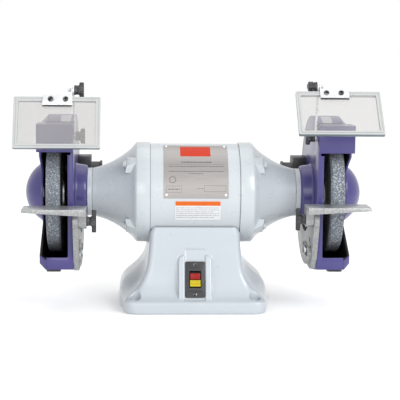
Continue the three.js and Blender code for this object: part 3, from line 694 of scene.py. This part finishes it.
def build_switch_face():
    base = plate(rounded(-21, 21, -37.5, 37.5, 4), -3.1, -0.3, "y")
    bezel = plate(rounded(-15, 15, -24, 24, 3), -5.2, -0.5, "y")
    body = carved(fused(base, bezel), block((-12, 12), (-10, 2), (-17.5, 17.5)))
    body = softened(body, 0.7, 3)
    piece(at_switch(body), "switch_face", "frame", "black", ["switch_plate"], 35)
    for name, z in (("top", 31), ("bottom", -31)):
        screw = lathe([(0, 0), (0, 4.2), (1.0, 3.8), (1.8, 2.2), (1.9, 0)], 32)
        screw = carved(screw, block((1.2, 3), (-0.5, 0.5), (-4, 4)))
        moved(turned(screw, -90, "Z"), -3.1, z)
        piece(at_switch(screw), "switch_screw_" + name, "frame", "oxide")


def at_rocker(ob):
    """Tips a part built round the rocker's pin and puts it in the switch."""
    pin_depth, tilt = 4, 7
    return at_switch(moved(ob, pin_depth, 0, tilt))


def build_rocker():
    outline = [(-12, 13.5), (-12, 1.2), (-9, 0.2), (-3, 0.2), (-3, -13.5), (5, -13.5), (5, 13.5)]
    body = softened(plate(outline, -10.2, 10.2), 0.9, 3)
    piece(at_rocker(body), "rocker_cap", "rocker", "red", ["switch_rocker"])


def build_key():
    outline = [(-14, -0.6), (-13.2, -8), (-16, -9.4), (-16, -13), (-14.5, -13.8), (-3.4, -13.8),
               (-3.4, -0.6)]
    body = carved(plate(outline, -10.6, 10.6), block((-6.5, 6.5), (-17, -13.2), (-7.5, -2.5)))
    body = softened(body, 1.0, 3)
    piece(at_rocker(body), "key_cap", "lock_key", "yellow", ["switch_lock_key"])


# ---- plates on the barrel

def wrap(x0, x1, a0, a1, radius, thickness, steps=None):
    """Curved slab round the shaft between two angles above the front horizon."""
    steps = steps or math.ceil(abs(a1 - a0) / 1.5)
    angles = [math.radians(a0 + (a1 - a0) * i / steps) for i in range(steps + 1)]
    verts = [(x, -r * math.cos(a), AXIS + r * math.sin(a))
             for r in (radius, radius + thickness) for a in angles for x in (x0, x1)]
    layer = 2 * len(angles)
    faces = []
    for i in range(0, 2 * steps, 2):
        inner = [i, i + 1, i + 3, i + 2]
        faces += [inner, [layer + v for v in inner]]
    edge = [0] + list(range(1, layer, 2)) + list(range(layer - 2, 0, -2))
    for p, q in zip(edge, edge[1:] + edge[:1]):
        faces.append([p, q, layer + q, layer + p])
    return new_solid(verts, faces)


def printed_line(x0, x1, angle, radius, height):
    half = height * math.degrees(1 / radius) / 2
    return wrap(x0, x1, angle - half, angle + half, radius, PRINT)


def dashes(x0, x1, angle, radius, height, seed):
    """A line of short marks that stands for print without being lettering."""
    rng = random.Random(seed)
    result, x = [], x0
    while x < x1 - 1:
        end = min(x1, x + rng.uniform(2.5, 7.0))
        result.append(printed_line(x, end, angle, radius, height))
        x = end + rng.uniform(0.9, 1.6)
    return result


def frame_lines(x0, x1, a0, a1, radius):
    """Empty box of thin printed lines."""
    line = 0.45
    h = line * math.degrees(1 / radius)
    return [wrap(x0, x1, a0, a0 + h, radius, PRINT), wrap(x0, x1, a1 - h, a1, radius, PRINT),
            wrap(x0, x0 + line, a0 + h, a1 - h, radius, PRINT),
            wrap(x1 - line, x1, a0 + h, a1 - h, radius, PRINT)]


def build_rivets(xs, angles):
    rivets = []
    for x in xs:
        for angle in angles:
            rivet = turned(lathe([(0, 0), (0, 2.9), (0.7, 2.6), (1.3, 1.6), (1.5, 0)], 24), -90, "Z")
            moved(rivet, -WRAP_RADIUS - 0.7, 0)
            rivets.append(moved(rivet, 0, AXIS, -angle, x))
    piece(together(rivets), "plate_rivets", "frame", "zinc")


def build_nameplate():
    x0, x1 = span("nameplate", X)
    body = softened(wrap(x0, x1, -1.0, 76.0, WRAP_RADIUS, 0.8, 40), 0.25, 1, 50)
    piece(body, "rating_plate", "frame", "plate", ["nameplate"], 30)
    top = WRAP_RADIUS + 0.83
    middle = (x0 + x1) / 2
    colour = wrap(middle - 32, middle + 31, 51.5, 71.5, top, 0.06)
    piece(colour, "plate_colour_block", "frame", "orange")
    ink = dashes(middle - 30, middle + 32, 42.6, top, 2.2, 426)
    ink.append(printed_line(middle - 58, middle + 59, 39.7, top, 0.35))
    for angle, left, right, height in ((36.8, 56, 57, 1.1), (30.4, 56, 57, 1.1), (27.6, 15, 15, 1.0)):
        ink += dashes(middle - left, middle + right, angle, top, height, int(angle * 10))
    ink += frame_lines(x0 + 5, x0 + 37, 5.9, 13.2, top)
    ink += frame_lines(x1 - 50, x1 - 5, 6.7, 13.7, top)
    ink += dashes(x0 + 9, x0 + 33, 9.5, top, 1.6, 5)
    ink += dashes(x1 - 64, x1 - 52, 10.2, top, 0.7, 6)
    piece(together(ink), "plate_lines", "frame", "ink")
    ring = []
    for k in range(28):
        turn = 2 * math.pi * k / 28
        x, a = x0 + 18 + 6.5 * math.cos(turn), 20.4 + 3.6 * math.sin(turn)
        ring.append(wrap(x - 0.6, x + 0.6, a - 0.33, a + 0.33, top, PRINT, 1))
    piece(together(ring), "plate_ring", "frame", "ink")
    build_rivets((x0 + 5.5, x1 - 5.5), (3.0, 72.5))


def build_label():
    x0, x1 = span("info_label", X)
    film = wrap(x0, x1, -27.5, -3.8, WRAP_RADIUS, 0.45, 16)
    piece(film, "side_label", "frame", "paper", ["info_label"])
    top = WRAP_RADIUS + 0.47
    band = wrap(x0 + 0.6, x1 - 0.6, -9.4, -4.3, top, PRINT)
    piece(band, "label_band", "frame", "amber")
    lines = []
    for k in range(6):
        short = 10 if k in (2, 5) else 0
        lines += dashes(x0 + 2, x1 - 3 - short, -12.0 - 2.4 * k, top, 0.8, 40 + k)
    piece(together(lines), "label_lines", "frame", "ink")


# ---- motor

def build_barrel():
    r, end, edge = BARREL_RADIUS, BARREL_END, 0.6
    half = [(end - edge, r), (end, r - edge), (end, r - 6)]
    profile = [(-x, y) for x, y in reversed(half)] + half
    piece(lathe(profile, 192, 0, AXIS), "barrel", "frame", "grey", ["stator_housing"], 30)


def build_bell(name, side):
    """End bell: a flared shell with four bolt bosses."""
    slope = smooth_curve([(126, 100.5), (133, 92.5), (145, 82.5), (158, 73.6), (171, 66), (187, 58.6),
                          (203, 53.2), (213.4, 50.9)], 5)
    shell = [(93.3, 98), (93.3, 105.2), (94.1, 106), (119.6, 106), (121.6, 105.2)] + slope
    inner = [(214.3, 50.2), (214.3, 20), (204.3, 20), (204.3, 31.3), (187.7, 31.3), (187.7, 44),
             (150, 69), (118, 97)]
    limit = [(96, 0), (96, 105), (121, 105), (126, 103), (140, 99.5), (143.6, 96), (144, 93), (144, 0)]
    bell = lathe(shell + inner, 160)
    for ys in ((-78, -49), (49, 78)):
        for zs in ((-78, -48), (48, 78)):
            boss = common(block((98, 150), ys, zs), lathe(limit))
            boss = carved(boss, lathe([(90, 60), (90, 82), (160, 50), (160, 30), (90, 30)], 48))
            bell = fused(bell, boss)
    bell = on_shaft(softened(bell, 1.0, 2, CAST_ANGLE), side)
    piece(bell, "bell_" + name, "frame", "grey", [f"end_bell_{name}"], 36)


def build_bell_bolts(name, side):
    profile = [(143.5, 0), (143.5, 8), (144.2, 8.3), (145.4, 8.3), (145.6, 6.4), (149, 6.4), (149.6, 5.8),
               (149.6, 0)]
    for k, (y, z) in enumerate(((-64, 64), (-64, -64), (64, 64), (64, -64))):
        bolt = carved(lathe(profile, 32, y, z), plate(circle(y, z, 3.0, 6), 146.5, 152))
        piece(on_shaft(bolt, side), f"bell_bolt_{name}_{k}", "frame", "grey")


def build_neck(name, side):
    neck = lathe([(214.6, 22), (214.6, 50), (215.4, 50.8), (223.8, 50.8), (224.6, 50), (224.6, 22)], 128)
    piece(on_shaft(neck, side), "neck_" + name, "frame", "grey", [f"neck_ring_{name}"])


# ---- rotor

def build_shaft():
    half = [(60, 20), (176, 20), (182, 15), (261, 15), (262, 14), (262, 12.7), (SHAFT_END - 2, 12.7),
            (SHAFT_END, 10.7)]
    profile = [(-SHAFT_END, 0)] + [(-x, r) for x, r in reversed(half)] + half + [(SHAFT_END, 0)]
    piece(on_shaft(lathe(profile, 64)), "shaft_turned", "rotor", "steel", ["motor_shaft"])


def build_wheel(name, side):
    """Grinding wheel with worn corners, and the card on its two faces."""
    x0, x1, r = WHEEL_NEAR, WHEEL_FAR, WHEEL_RADIUS
    wheel = lathe([(x0, 13), (x0, 50), (x0, r - 3.6), (x0 + 3.6, r - 0.1), (x0 + 8, r), (x1 - 8, r),
                   (x1 - 1.8, r - 0.1), (x1, r - 2), (x1, 50), (x1, 13)], 160)
    piece(on_shaft(wheel, side), "wheel_" + name, "rotor", "abrasive", [f"grinding_wheel_{name}"])
    card = together([lathe([(a, 13), (a, 62), (b, 62), (b, 13)])
                     for a, b in ((x0 - 0.25, x0 - 0.02), (x1 + 0.02, x1 + 0.25))])
    piece(on_shaft(card, side), "wheel_cards_" + name, "rotor", "card")


def build_flanges(name, side):
    """Dished flanges on both sides of the wheel, with their rims against it."""
    for kind, dish in (("inner", 1), ("outer", -1)):
        near, far = span(f"{kind}_flange_right", X)
        rim, back = (far, near) if dish > 0 else (near, far)
        profile = [(rim, 13), (rim, 44.2), (rim - dish * 0.8, 45), (rim - dish * 4, 45),
                   (rim - dish * 6, 42), (back + dish * 1.0, 26), (back, 24), (back, 13)]
        piece(on_shaft(lathe(profile), side), f"flange_{kind}_{name}", "rotor", "steel",
              [f"{kind}_flange_{name}"])


def build_nut(name, side):
    x0, x1 = span("wheel_nut_right", X)
    chamfers = lathe([(x0, 0), (x0, 19.5), (x0 + 1.9, 21), (x1 - 1.9, 21), (x1, 19.3), (x1, 0)], 64)
    nut = common(plate(hexagon(0, 0, 21), x0, x1), chamfers)
    nut = on_shaft(softened(carved(nut, rod(12.9, 310, 340)), 0.4), side)
    piece(nut, "nut_" + name, "rotor", "steel", [f"wheel_nut_{name}"])


# ---- wheel guards

def mouth_tools():
    """Cutters for the guard and its cover: the flat front, the mouth and the opening under the hood."""
    return [block((248, 330), (-FAR, -GUARD_FRONT), (-FAR, FAR)),
            plate(rounded(260.5, 314.8, -122, 89, 4), -FAR, -60, "y"),
            block((254.5, 314.8), (-FAR, -60), (88, FAR)),
            block((254.5, 330), (-FAR, -60), (122, FAR))]


def guard_outline(inset):
    """Side outline of the guard drawn in: round behind, flat in front, with a square chin."""
    radius, front = GUARD_RADIUS - inset, GUARD_FRONT - inset
    slope = math.radians(CHIN_SLOPE)
    start = 180 - math.degrees(math.acos(front / radius))
    chin = -radius * math.cos(slope) + math.tan(slope) * (front - radius * math.sin(slope))
    return arc(0, 0, radius, start, -90 - CHIN_SLOPE, GUARD_STEPS) + [(-front, chin)]


def guard_depth(y, z):
    """How far a point lies inside the guard's side outline."""
    slope = math.radians(CHIN_SLOPE)
    below = GUARD_RADIUS + math.sin(slope) * y + math.cos(slope) * z
    behind = GUARD_RADIUS - math.hypot(y, z)
    in_chin = z < 0 and y < -GUARD_RADIUS * math.sin(slope)
    return min(GUARD_FRONT + y, below if in_chin else behind)


def guard_loft(stations):
    """Solid through guard outlines at (x, inset) stations."""
    return loft([[(x, y, z) for y, z in guard_outline(inset)] for x, inset in stations])


def guard_piece(ob, name, side, node, dark_inside):
    """Places a guard part and paints it purple, with the faces that `dark_inside` picks near-black: dark
    paint inside, with painted shade on it.
    """
    on_shaft(ob, side)
    piece(ob, name, "frame", ("purple", "inside"), [node], 36)
    for face in ob.data.polygons:
        x, y, z = side * face.center.x / MM, face.center.y / MM, face.center.z / MM - AXIS
        face.material_index = int(dark_inside(x, guard_depth(y, z), math.hypot(y, z), side * face.normal.x))


def dome(inset, neck):
    """The cover's domed centre, or its hollow, down to `neck`, an (x, radius) inside the cover."""
    sphere = (DOME_RADIUS ** 2 + DOME_RISE ** 2) / (2 * DOME_RISE)
    centre = 319 + DOME_RISE - sphere
    opening = math.asin((DOME_RADIUS - inset) / (sphere - inset))
    steps = 14
    angles = [opening * i / steps for i in range(1, steps + 1)]
    cap = [(centre + (sphere - inset) * math.cos(a), (sphere - inset) * math.sin(a)) for a in angles]
    return lathe([(centre + sphere - inset, 0.0)] + cap + [neck, (neck[0], 0)], 128)


def build_drum(name, side):
    """The guard round the wheel: an inner wall and a rim, open towards the cover and the mouth."""
    # Inside faces coloured near-black: partly dark paint, partly painted shade.
    def in_dark_inside(x, depth, *_):
        return x > 254.2 and depth > 4.4

    drum = carved(guard_loft([(GUARD_NEAR, 0), (GUARD_FAR, 0)]), guard_loft([(254.5, 5), (306, 5)]))
    drum = carved(drum, *mouth_tools(), rod(42, 248, 256, segments=64),
                  block((248, 256), (92, 132), (6, 46)), rod(PIVOT_HOLE, 248, 256, *ARM_PIVOT),
                  rod(PIVOT_HOLE, 248, 256, BOLT_PLACE[0], BOLT_PLACE[1] + BRACKET_SHIFT[name]))
    drum = softened(drum, 0.9, 2, CAST_ANGLE)
    guard_piece(drum, "guard_" + name, side, f"inner_guard_{name}", in_dark_inside)


def build_hub(name, side):
    """Neck of the guard, flared up to its wall but clear of the sliding bracket."""
    flare = smooth_curve([(225.4, 54.8), (228, 56.6), (236, 58.2), (243, 59.3), (247, 60.2),
                          (249.2, 61.6)], 5)
    hub = on_shaft(lathe([(224.9, 42), (224.9, 54)] + flare + [(249.3, 42)], 128), side)
    piece(hub, "hub_" + name, "frame", "purple", [f"guard_hub_{name}"], 40)


def build_cover(name, side):
    """Outer cover: slanted edge, domed centre, and a notch in front that bares the wheel's side."""
    # Inside faces coloured near-black: partly dark paint, partly painted shade.
    def in_dark_inside(x, depth, radius, facing):
        under_plate = x < 315 and depth > 4.4 + (x - COVER_NEAR)
        under_dome = x > 314 and radius < 60 and facing < -0.05
        return under_plate or under_dome

    cover = fused(guard_loft([(COVER_NEAR, 0), (306, 0), (319, 13)]), dome(0, (316, 62)))
    room = guard_loft([(303, 5), (COVER_NEAR, 5), (314.8, 15.5)])
    notch = plate([(-FAR, 133), (0, 25), (10, -46), (-FAR, -172)], 303, 320.5)
    notch = carved(notch, rod(66, 300, 322, segments=96))
    cover = carved(cover, room, dome(4.2, (313, 57.8)), notch, *mouth_tools())
    cover = softened(cover, 0.9, 2, CAST_ANGLE)
    guard_piece(cover, "cover_" + name, side, f"outer_cover_{name}", in_dark_inside)


def build_hood(name, side):
    t = 2.5
    near, far = span("spark_hood_right", X)
    front, back = span("spark_hood_right", Y)
    edge = [(near, front), (317, front), (321, -129), (323, -127), (far, -123), (far, back)]
    inside = [(far - t, back), (far - t, -122.4), (321, -125.4), (316.6, front + t), (near, front + t)]
    face = plate(edge + inside, 94, 150.5, "z")
    top = plate(edge + [(255.2, back), (255.2, -125.5), (near, -125.5)], 150.5 - t, 150.5, "z")
    inner_side = block((255.2, 257.7), (-129, back), (112, 150.5))
    hood = on_shaft(softened(fused(face, top, inner_side), 0.7, 2, CAST_ANGLE), side)
    piece(hood, "hood_" + name, f"hood_{name}", "purple", [f"spark_hood_{name}"], 36)


def build_port(name, side):
    y, z = 112, 26
    box = plate(rounded(80, 144, -14, 68, 8), 222, 249.2)
    spigot = lathe([(198, 0), (198, 30.5), (202, 30.5), (203.5, 28), (223, 28), (223, 0)], 96, y, z)
    port = carved(fused(box, spigot), rod(24, 190, 228, y, z, 96), block((227, 250), (85, 139), (-9, 62)))
    port = on_shaft(softened(port, 1.0, 2, CAST_ANGLE), side)
    piece(port, "port_" + name, "frame", "black", [f"dust_port_{name}"], 36)


def under_chin(outer, inner):
    """Layer under the guard's chin between two distances outside its outline."""
    return carved(guard_loft([(278, -outer), (306, -outer)]), guard_loft([(277, -inner), (307, -inner)]))


def build_clip(name, side):
    """Black ribbed clip that hugs the chin's sloping underside."""
    strap = common(under_chin(4.3, 0.3), block((270, 320), (-98, -66), (-180, -100)))
    ribs = [plate([(y, -160), (y + 1.6, -160), (y + 1.6, -150), (y, -150)], 279.5, 304.5)
            for y in range(-94, -66, 4)]
    ribs = common(together(ribs), under_chin(4.8, 2))
    clip = on_shaft(together([softened(strap, 0.5), ribs]), side)
    piece(clip, "clip_" + name, "frame", "black", [f"cover_clip_{name}"])


def build_cover_screws(name, side):
    head = [(318.8, 0), (318.8, 6), (320.4, 5.6), (322, 3.4), (322.3, 0)]
    screws = together([lathe(head, 32, *polar(138, angle)) for angle in (108, 38, -32, -96)])
    piece(on_shaft(screws, side), "cover_screws_" + name, "frame", "zinc")


def build_sticker(name, side):
    start = STICKER_START[name]
    sticker = on_side(wrap(start, start + 21, 67.8, 83, GUARD_RADIUS + 0.1, 0.15), side)
    piece(sticker, "guard_sticker_" + name, "frame", "pale")


# ---- knobs

def knob(face, bar_length, stud, turn):
    """Handle and screw of a clamp knob whose face is at x = face, with its screw towards +x."""
    back = face - 18.5
    hub = lathe([(back, 0), (back, 7), (back + 0.6, 9.4), (back + 1.6, 10.3), (back + 9.5, 10.5),
                 (back + 10.6, 9.4), (back + 12, 9.0), (back + 14.5, 9.4), (face - 1.2, 10.2), (face, 9.6),
                 (face, 0)], 48)
    hub = carved(hub, *[rod(2.6, back + 0.8, back + 10, *polar(11.6, 22.5 + 45 * k), 20) for k in range(8)])
    reach = bar_length / 2 - 5
    bar = softened(plate(obround(-reach, 0, reach, 0, 5), back - 0.5, back + 8.5), 1.4, 3)
    handle = turned(together([softened(hub, 0.4, 2, 40), bar]), turn, "X")
    pitch = 1.25
    thread = [(face - 1, 0), (face - 1, 3.4)]
    x = face
    while x < face + stud - pitch:
        thread += [(x, 3.4), (x + pitch / 2, 4.0)]
        x += pitch
    thread += [(face + stud - 0.8, 3.6), (face + stud, 2.8), (face + stud, 0)]
    return handle, lathe(thread, 32)


def build_knob(kind, name, side, node, pivot, metal, *shape):
    """Places a knob's two pieces at a (y, z) pivot."""
    body = f"{kind}_knob_{name}"
    handle, stud = knob(*shape)
    piece(moved(on_side(handle, side), *pivot), f"{kind}_handle_{name}", body, "black", [node])
    piece(moved(on_side(stud, side), *pivot), f"{kind}_stud_{name}", body, metal)


# ---- tool rests

def build_bracket(name, side):
    """Slotted casting that carries a rest: a nose round the pivot and a body curved under the shaft."""
    y, z = REST_PIVOT
    shape = [(-92, z + 17)] + arc(y, z, 17, 90, 204, 12)
    shape += [(-119, -140), (-116.4, -145.2), (-111.2, -149.4), (-104.2, -151.5)]
    shape += arc(0, 0, 158, 255, 331, 40) + arc(0, 0, 88, 331, 205, 48)
    pad = plate(obround(-100, -122, -20, -122, 15), 234.5, 240)
    web = plate([polar(151, 222), polar(151, 232), polar(140, 244), polar(128, 240), polar(124, 226)],
                236.3, 240)
    body = fused(plate(shape, 238.5, 249.2), pad, web)
    slot = plate(obround(-62, -120, -20, -120, 5), 230, 252)
    recess = plate(obround(-78, -120, -18, -120, 11.5), 230, 240.5)
    body = softened(carved(body, slot, recess, rod(PIVOT_HOLE, 236, 252, y, z)), 1.0, 2, CAST_ANGLE)
    moved(on_side(body, side), 0, AXIS + BRACKET_SHIFT[name])
    piece(body, "bracket_casting_" + name, f"bracket_{name}", "aluminium",
          [f"tool_rest_bracket_{name}"], 36)


def build_bracket_bolt(name, side):
    head = softened(plate(hexagon(*BOLT_PLACE, 8), 232.5, 239), 0.6)
    washer = lathe([(238.7, 0), (238.7, 9.6), (239.1, 10), (240.2, 10), (240.2, 0)], 48, *BOLT_PLACE)
    shank = rod(4, 239, 259.5, *BOLT_PLACE)
    bolt = moved(on_side(together([head, washer, shank]), side), 0, AXIS + BRACKET_SHIFT[name])
    piece(bolt, "bracket_bolt_head_" + name, "frame", "steel", [f"bracket_bolt_{name}"])


def build_table(name, side, pivot):
    """Table with a bright ground top and a rib under its front edge, on an arm round the pivot."""
    near, far = span("tool_rest_right", X)
    table = block((near, far), (-52.8, 13.2), (24.5, REST_TOP))
    rib = plate([(near, REST_TOP), (near, 16.5), (near + 14, 16.5), (far, 23.5), (far, REST_TOP)],
                -52.8, -45.8, "y")
    arm = plate([(-15, 28.5)] + arc(0, 0, 15, 180, 360, 20) + [(15, 21.5), (13.2, 28.5)], near, 238.2)
    gusset = plate([(238.0, 25), (252, 25), (245, 19.5), (238.0, 19.5)], -9, -2, "y")
    rest = fused(table, rib, arm, gusset)
    rest = carved(rest, rod(PIVOT_HOLE, 215, 245), rod(9.5, 236.2, 245, 0, 0, 40))
    rest = moved(on_side(softened(rest, 0.8, 2, CAST_ANGLE), side), *pivot)
    piece(rest, "rest_table_" + name, f"rest_{name}", ("aluminium", "ground"),
          [f"tool_rest_{name}"], 36)
    top = (pivot[1] + REST_TOP) * MM
    for face in rest.data.polygons:
        if face.normal.z > 0.99 and abs(face.center.z - top) < 0.0002:
            face.material_index = 1


def build_rest(name, side):
    pivot = (REST_PIVOT[0], AXIS + REST_PIVOT[1] + BRACKET_SHIFT[name])
    build_bracket(name, side)
    build_bracket_bolt(name, side)
    build_table(name, side, pivot)
    build_knob("rest", name, side, f"tool_rest_knob_{name}", pivot, "steel",
               221.2, 46, 26, 90)


# ---- eye shields

def build_arm(name, side, pivot):
    arm = plate(obround(0, 0, 0, ARM_LENGTH, 8, 16), 246, 249)
    arm = softened(carved(arm, rod(PIVOT_HOLE, 240, 252), rod(PIVOT_HOLE, 240, 252, 0, ARM_LENGTH)), 0.5)
    moved(on_side(arm, side), *pivot, ARM_LEAN[name])
    piece(arm, "arm_bar_" + name, f"arm_{name}", "zinc", [f"shield_arm_{name}"])


def build_clamp(name, hinged):
    """Bent clamp on the shield's top edge, its black strip and its two screws."""
    body = f"shield_{name}"
    clamp = fused(block((249.3, 308), (-9.7, -7), (-37, -14)),
                  plate([(-9.7, -17.4), (-4, -17.4), (7, -6), (7, 6), (3, 8), (-4, 8), (-9.7, 2)],
                        249.3, 251.8))
    clamp = hinged(softened(carved(clamp, rod(PIVOT_HOLE, 245, 255)), 0.4))
    piece(clamp, "clamp_plate_" + name, body, "zinc", [f"shield_clamp_{name}"])
    strip = hinged(softened(block((249.6, 307.7), (-9.9, -6.9), (-39.4, -36.8)), 0.4))
    piece(strip, "clamp_strip_" + name, body, "black")
    for k, x in enumerate((262.0, 292.0)):
        head = lathe([(0, 0), (0, 5.2), (0.5, 5.6), (2.6, 5.4), (3.2, 4.8), (3.2, 0)], 40)
        head = turned(carved(head, plate(circle(0, 0, 2.5, 6), 1.2, 5)), -90, "Z")
        head = hinged(moved(head, -9.7, -24.5, 0, x))
        piece(head, f"clamp_screw_{name}_{k}", body, "oxide")


def build_panel(name, side, hinged):
    """The shield: a clear pane in a frosted rim with darker edges and a groove round it."""
    x0, x1 = sorted(side * x for x in span("eye_shield_" + name, X))

    def inset(width, radius, lo, hi):
        outline = rounded(x0 + width, x1 - width, SHIELD_LOW + width, SHIELD_HIGH - width, radius)
        return plate(outline, lo, hi, "y")

    rim = carved(inset(0, 2.5, -6.9, 0.6), inset(9, 2, -20, 20))
    groove = carved(inset(3.2, 2, -6.1, -8), inset(5.2, 2, -9, -5))
    rim = hinged(softened(carved(rim, groove), 0.7))
    piece(rim, "shield_rim_" + name, f"shield_{name}", ("rim", "edge"),
          [f"eye_shield_{name}"])
    tilt = math.radians(SHIELD_TILT[name])
    facing = Vector((0, -math.cos(tilt), math.sin(tilt)))
    low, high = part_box("eye_shield_" + name)
    middle = (low + high) / 2
    for face in rim.data.polygons:
        outward = face.normal.dot(face.center - middle) > 0
        face.material_index = int(outward and abs(face.normal.dot(facing)) < 0.3)
    pane = hinged(inset(8.6, 1.6, -5.2, -2.2))
    piece(pane, "shield_pane_" + name, f"shield_{name}", "pane_" + name)


def build_shield(name, side):
    lean = math.radians(ARM_LEAN[name])
    lower = (ARM_PIVOT[0], AXIS + ARM_PIVOT[1])
    upper = (lower[0] - ARM_LENGTH * math.sin(lean), lower[1] + ARM_LENGTH * math.cos(lean))

    def hinged(ob):
        return moved(on_side(ob, side), *upper, -SHIELD_TILT[name])

    build_arm(name, side, lower)
    build_clamp(name, hinged)
    build_panel(name, side, hinged)
    build_knob("lower", name, side, f"shield_knob_lower_{name}", lower, "steel",
               245.7, 31, 9, 90)
    build_knob("upper", name, side, f"shield_knob_upper_{name}", upper, "zinc",
               245.7, 31, 13.5, UPPER_KNOB_TURN[name])


# ---- nodes kept from the CAD

def dress_cad_nodes():
    surfaces = {"base_bottom_plate": "steel", "capacitor": "black", "switch_body": "black",
                "stator_core": "copper", "rotor_core": "steel", "start_switch": "black",
                "bearing_left": "steel", "bearing_right": "steel"}
    for node, surface in surfaces.items():
        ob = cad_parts[node]
        ob.data.materials.clear()
        ob.data.materials.append(LOOK[surface])


# ---- stage, in metres

def build_floor():
    bm = bmesh.new()
    bmesh.ops.create_grid(bm, x_segments=2, y_segments=2, size=30)
    mesh = bpy.data.meshes.new("floor")
    bm.to_mesh(mesh)
    bm.free()
    floor = new_object("floor", mesh)
    s = Surface("floor_white", (0.88, 0.88, 0.88, 1), 0.6)
    s.tint(s.noise(3, 2), 0.005)
    s.set("Emission Color", (1, 1, 1, 1))
    s.set("Emission Strength", 0.12)
    mesh.materials.append(s.material)


def build_lights():
    world = bpy.data.worlds.new("studio")
    world.use_nodes = True
    background = world.node_tree.nodes["Background"]
    background.inputs["Color"].default_value = (1, 1, 1, 1)
    background.inputs["Strength"].default_value = 1.0
    SCENE.world = world
    for name, place, target, size, power in (
            ("key", (1.7, -2.3, 1.6), (0, 0, 0.25), 1.4, 60),
            ("front", (-0.7, -2.9, 0.9), (0, 0, 0.25), 1.2, 14),
            ("fill", (-2.0, -1.6, 1.4), (0, 0, 0.25), 1.6, 6),
            ("top", (0.0, 0.6, 2.4), (0, 0, 0.2), 1.6, 8)):
        light = bpy.data.lights.new(name, "AREA")
        light.shape = "SQUARE"
        light.size = size
        light.energy = power
        ob = new_object(name, light)
        ob.location = place
        ob.rotation_euler = (Vector(target) - Vector(place)).to_track_quat("-Z", "Y").to_euler()


def build_camera():
    """Camera nearly in front of the machine and a little above it."""
    azimuth, elevation, roll = (math.radians(angle) for angle in (-2.67, 6.93, 0.5))
    distance = 2.7
    target = Vector((0.01372, 0, 0.22049))
    away = Vector((math.sin(azimuth) * math.cos(elevation), -math.cos(azimuth) * math.cos(elevation),
                   math.sin(elevation)))
    right = Vector((math.cos(azimuth), math.sin(azimuth), 0))
    upright = Matrix((right, away.cross(right), away)).transposed()
    rotation = upright @ Matrix.Rotation(roll, 3, "Z")
    camera = bpy.data.cameras.new("camera")
    camera.sensor_width = 36
    camera.lens = 113.8104
    camera.clip_end = 100
    ob = new_object("camera", camera)
    ob.matrix_world = Matrix.Translation(target + away * distance) @ rotation.to_4x4()
    SCENE.camera = ob
    SCENE.view_settings.view_transform = "Standard"


def build_ends(*builders):
    for name, side in SIDES:
        for build in builders:
            build(name, side)


build_floor()
build_lights()
build_camera()
build_base()
build_gland()
build_switch_face()
build_rocker()
build_key()
build_barrel()
build_nameplate()
build_label()
build_ends(build_bell, build_bell_bolts, build_neck)
build_shaft()
build_ends(build_wheel, build_flanges, build_nut)
build_ends(build_drum, build_hub, build_cover, build_hood, build_port, build_clip, build_cover_screws,
           build_sticker)
build_ends(build_rest, build_shield)
dress_cad_nodes()
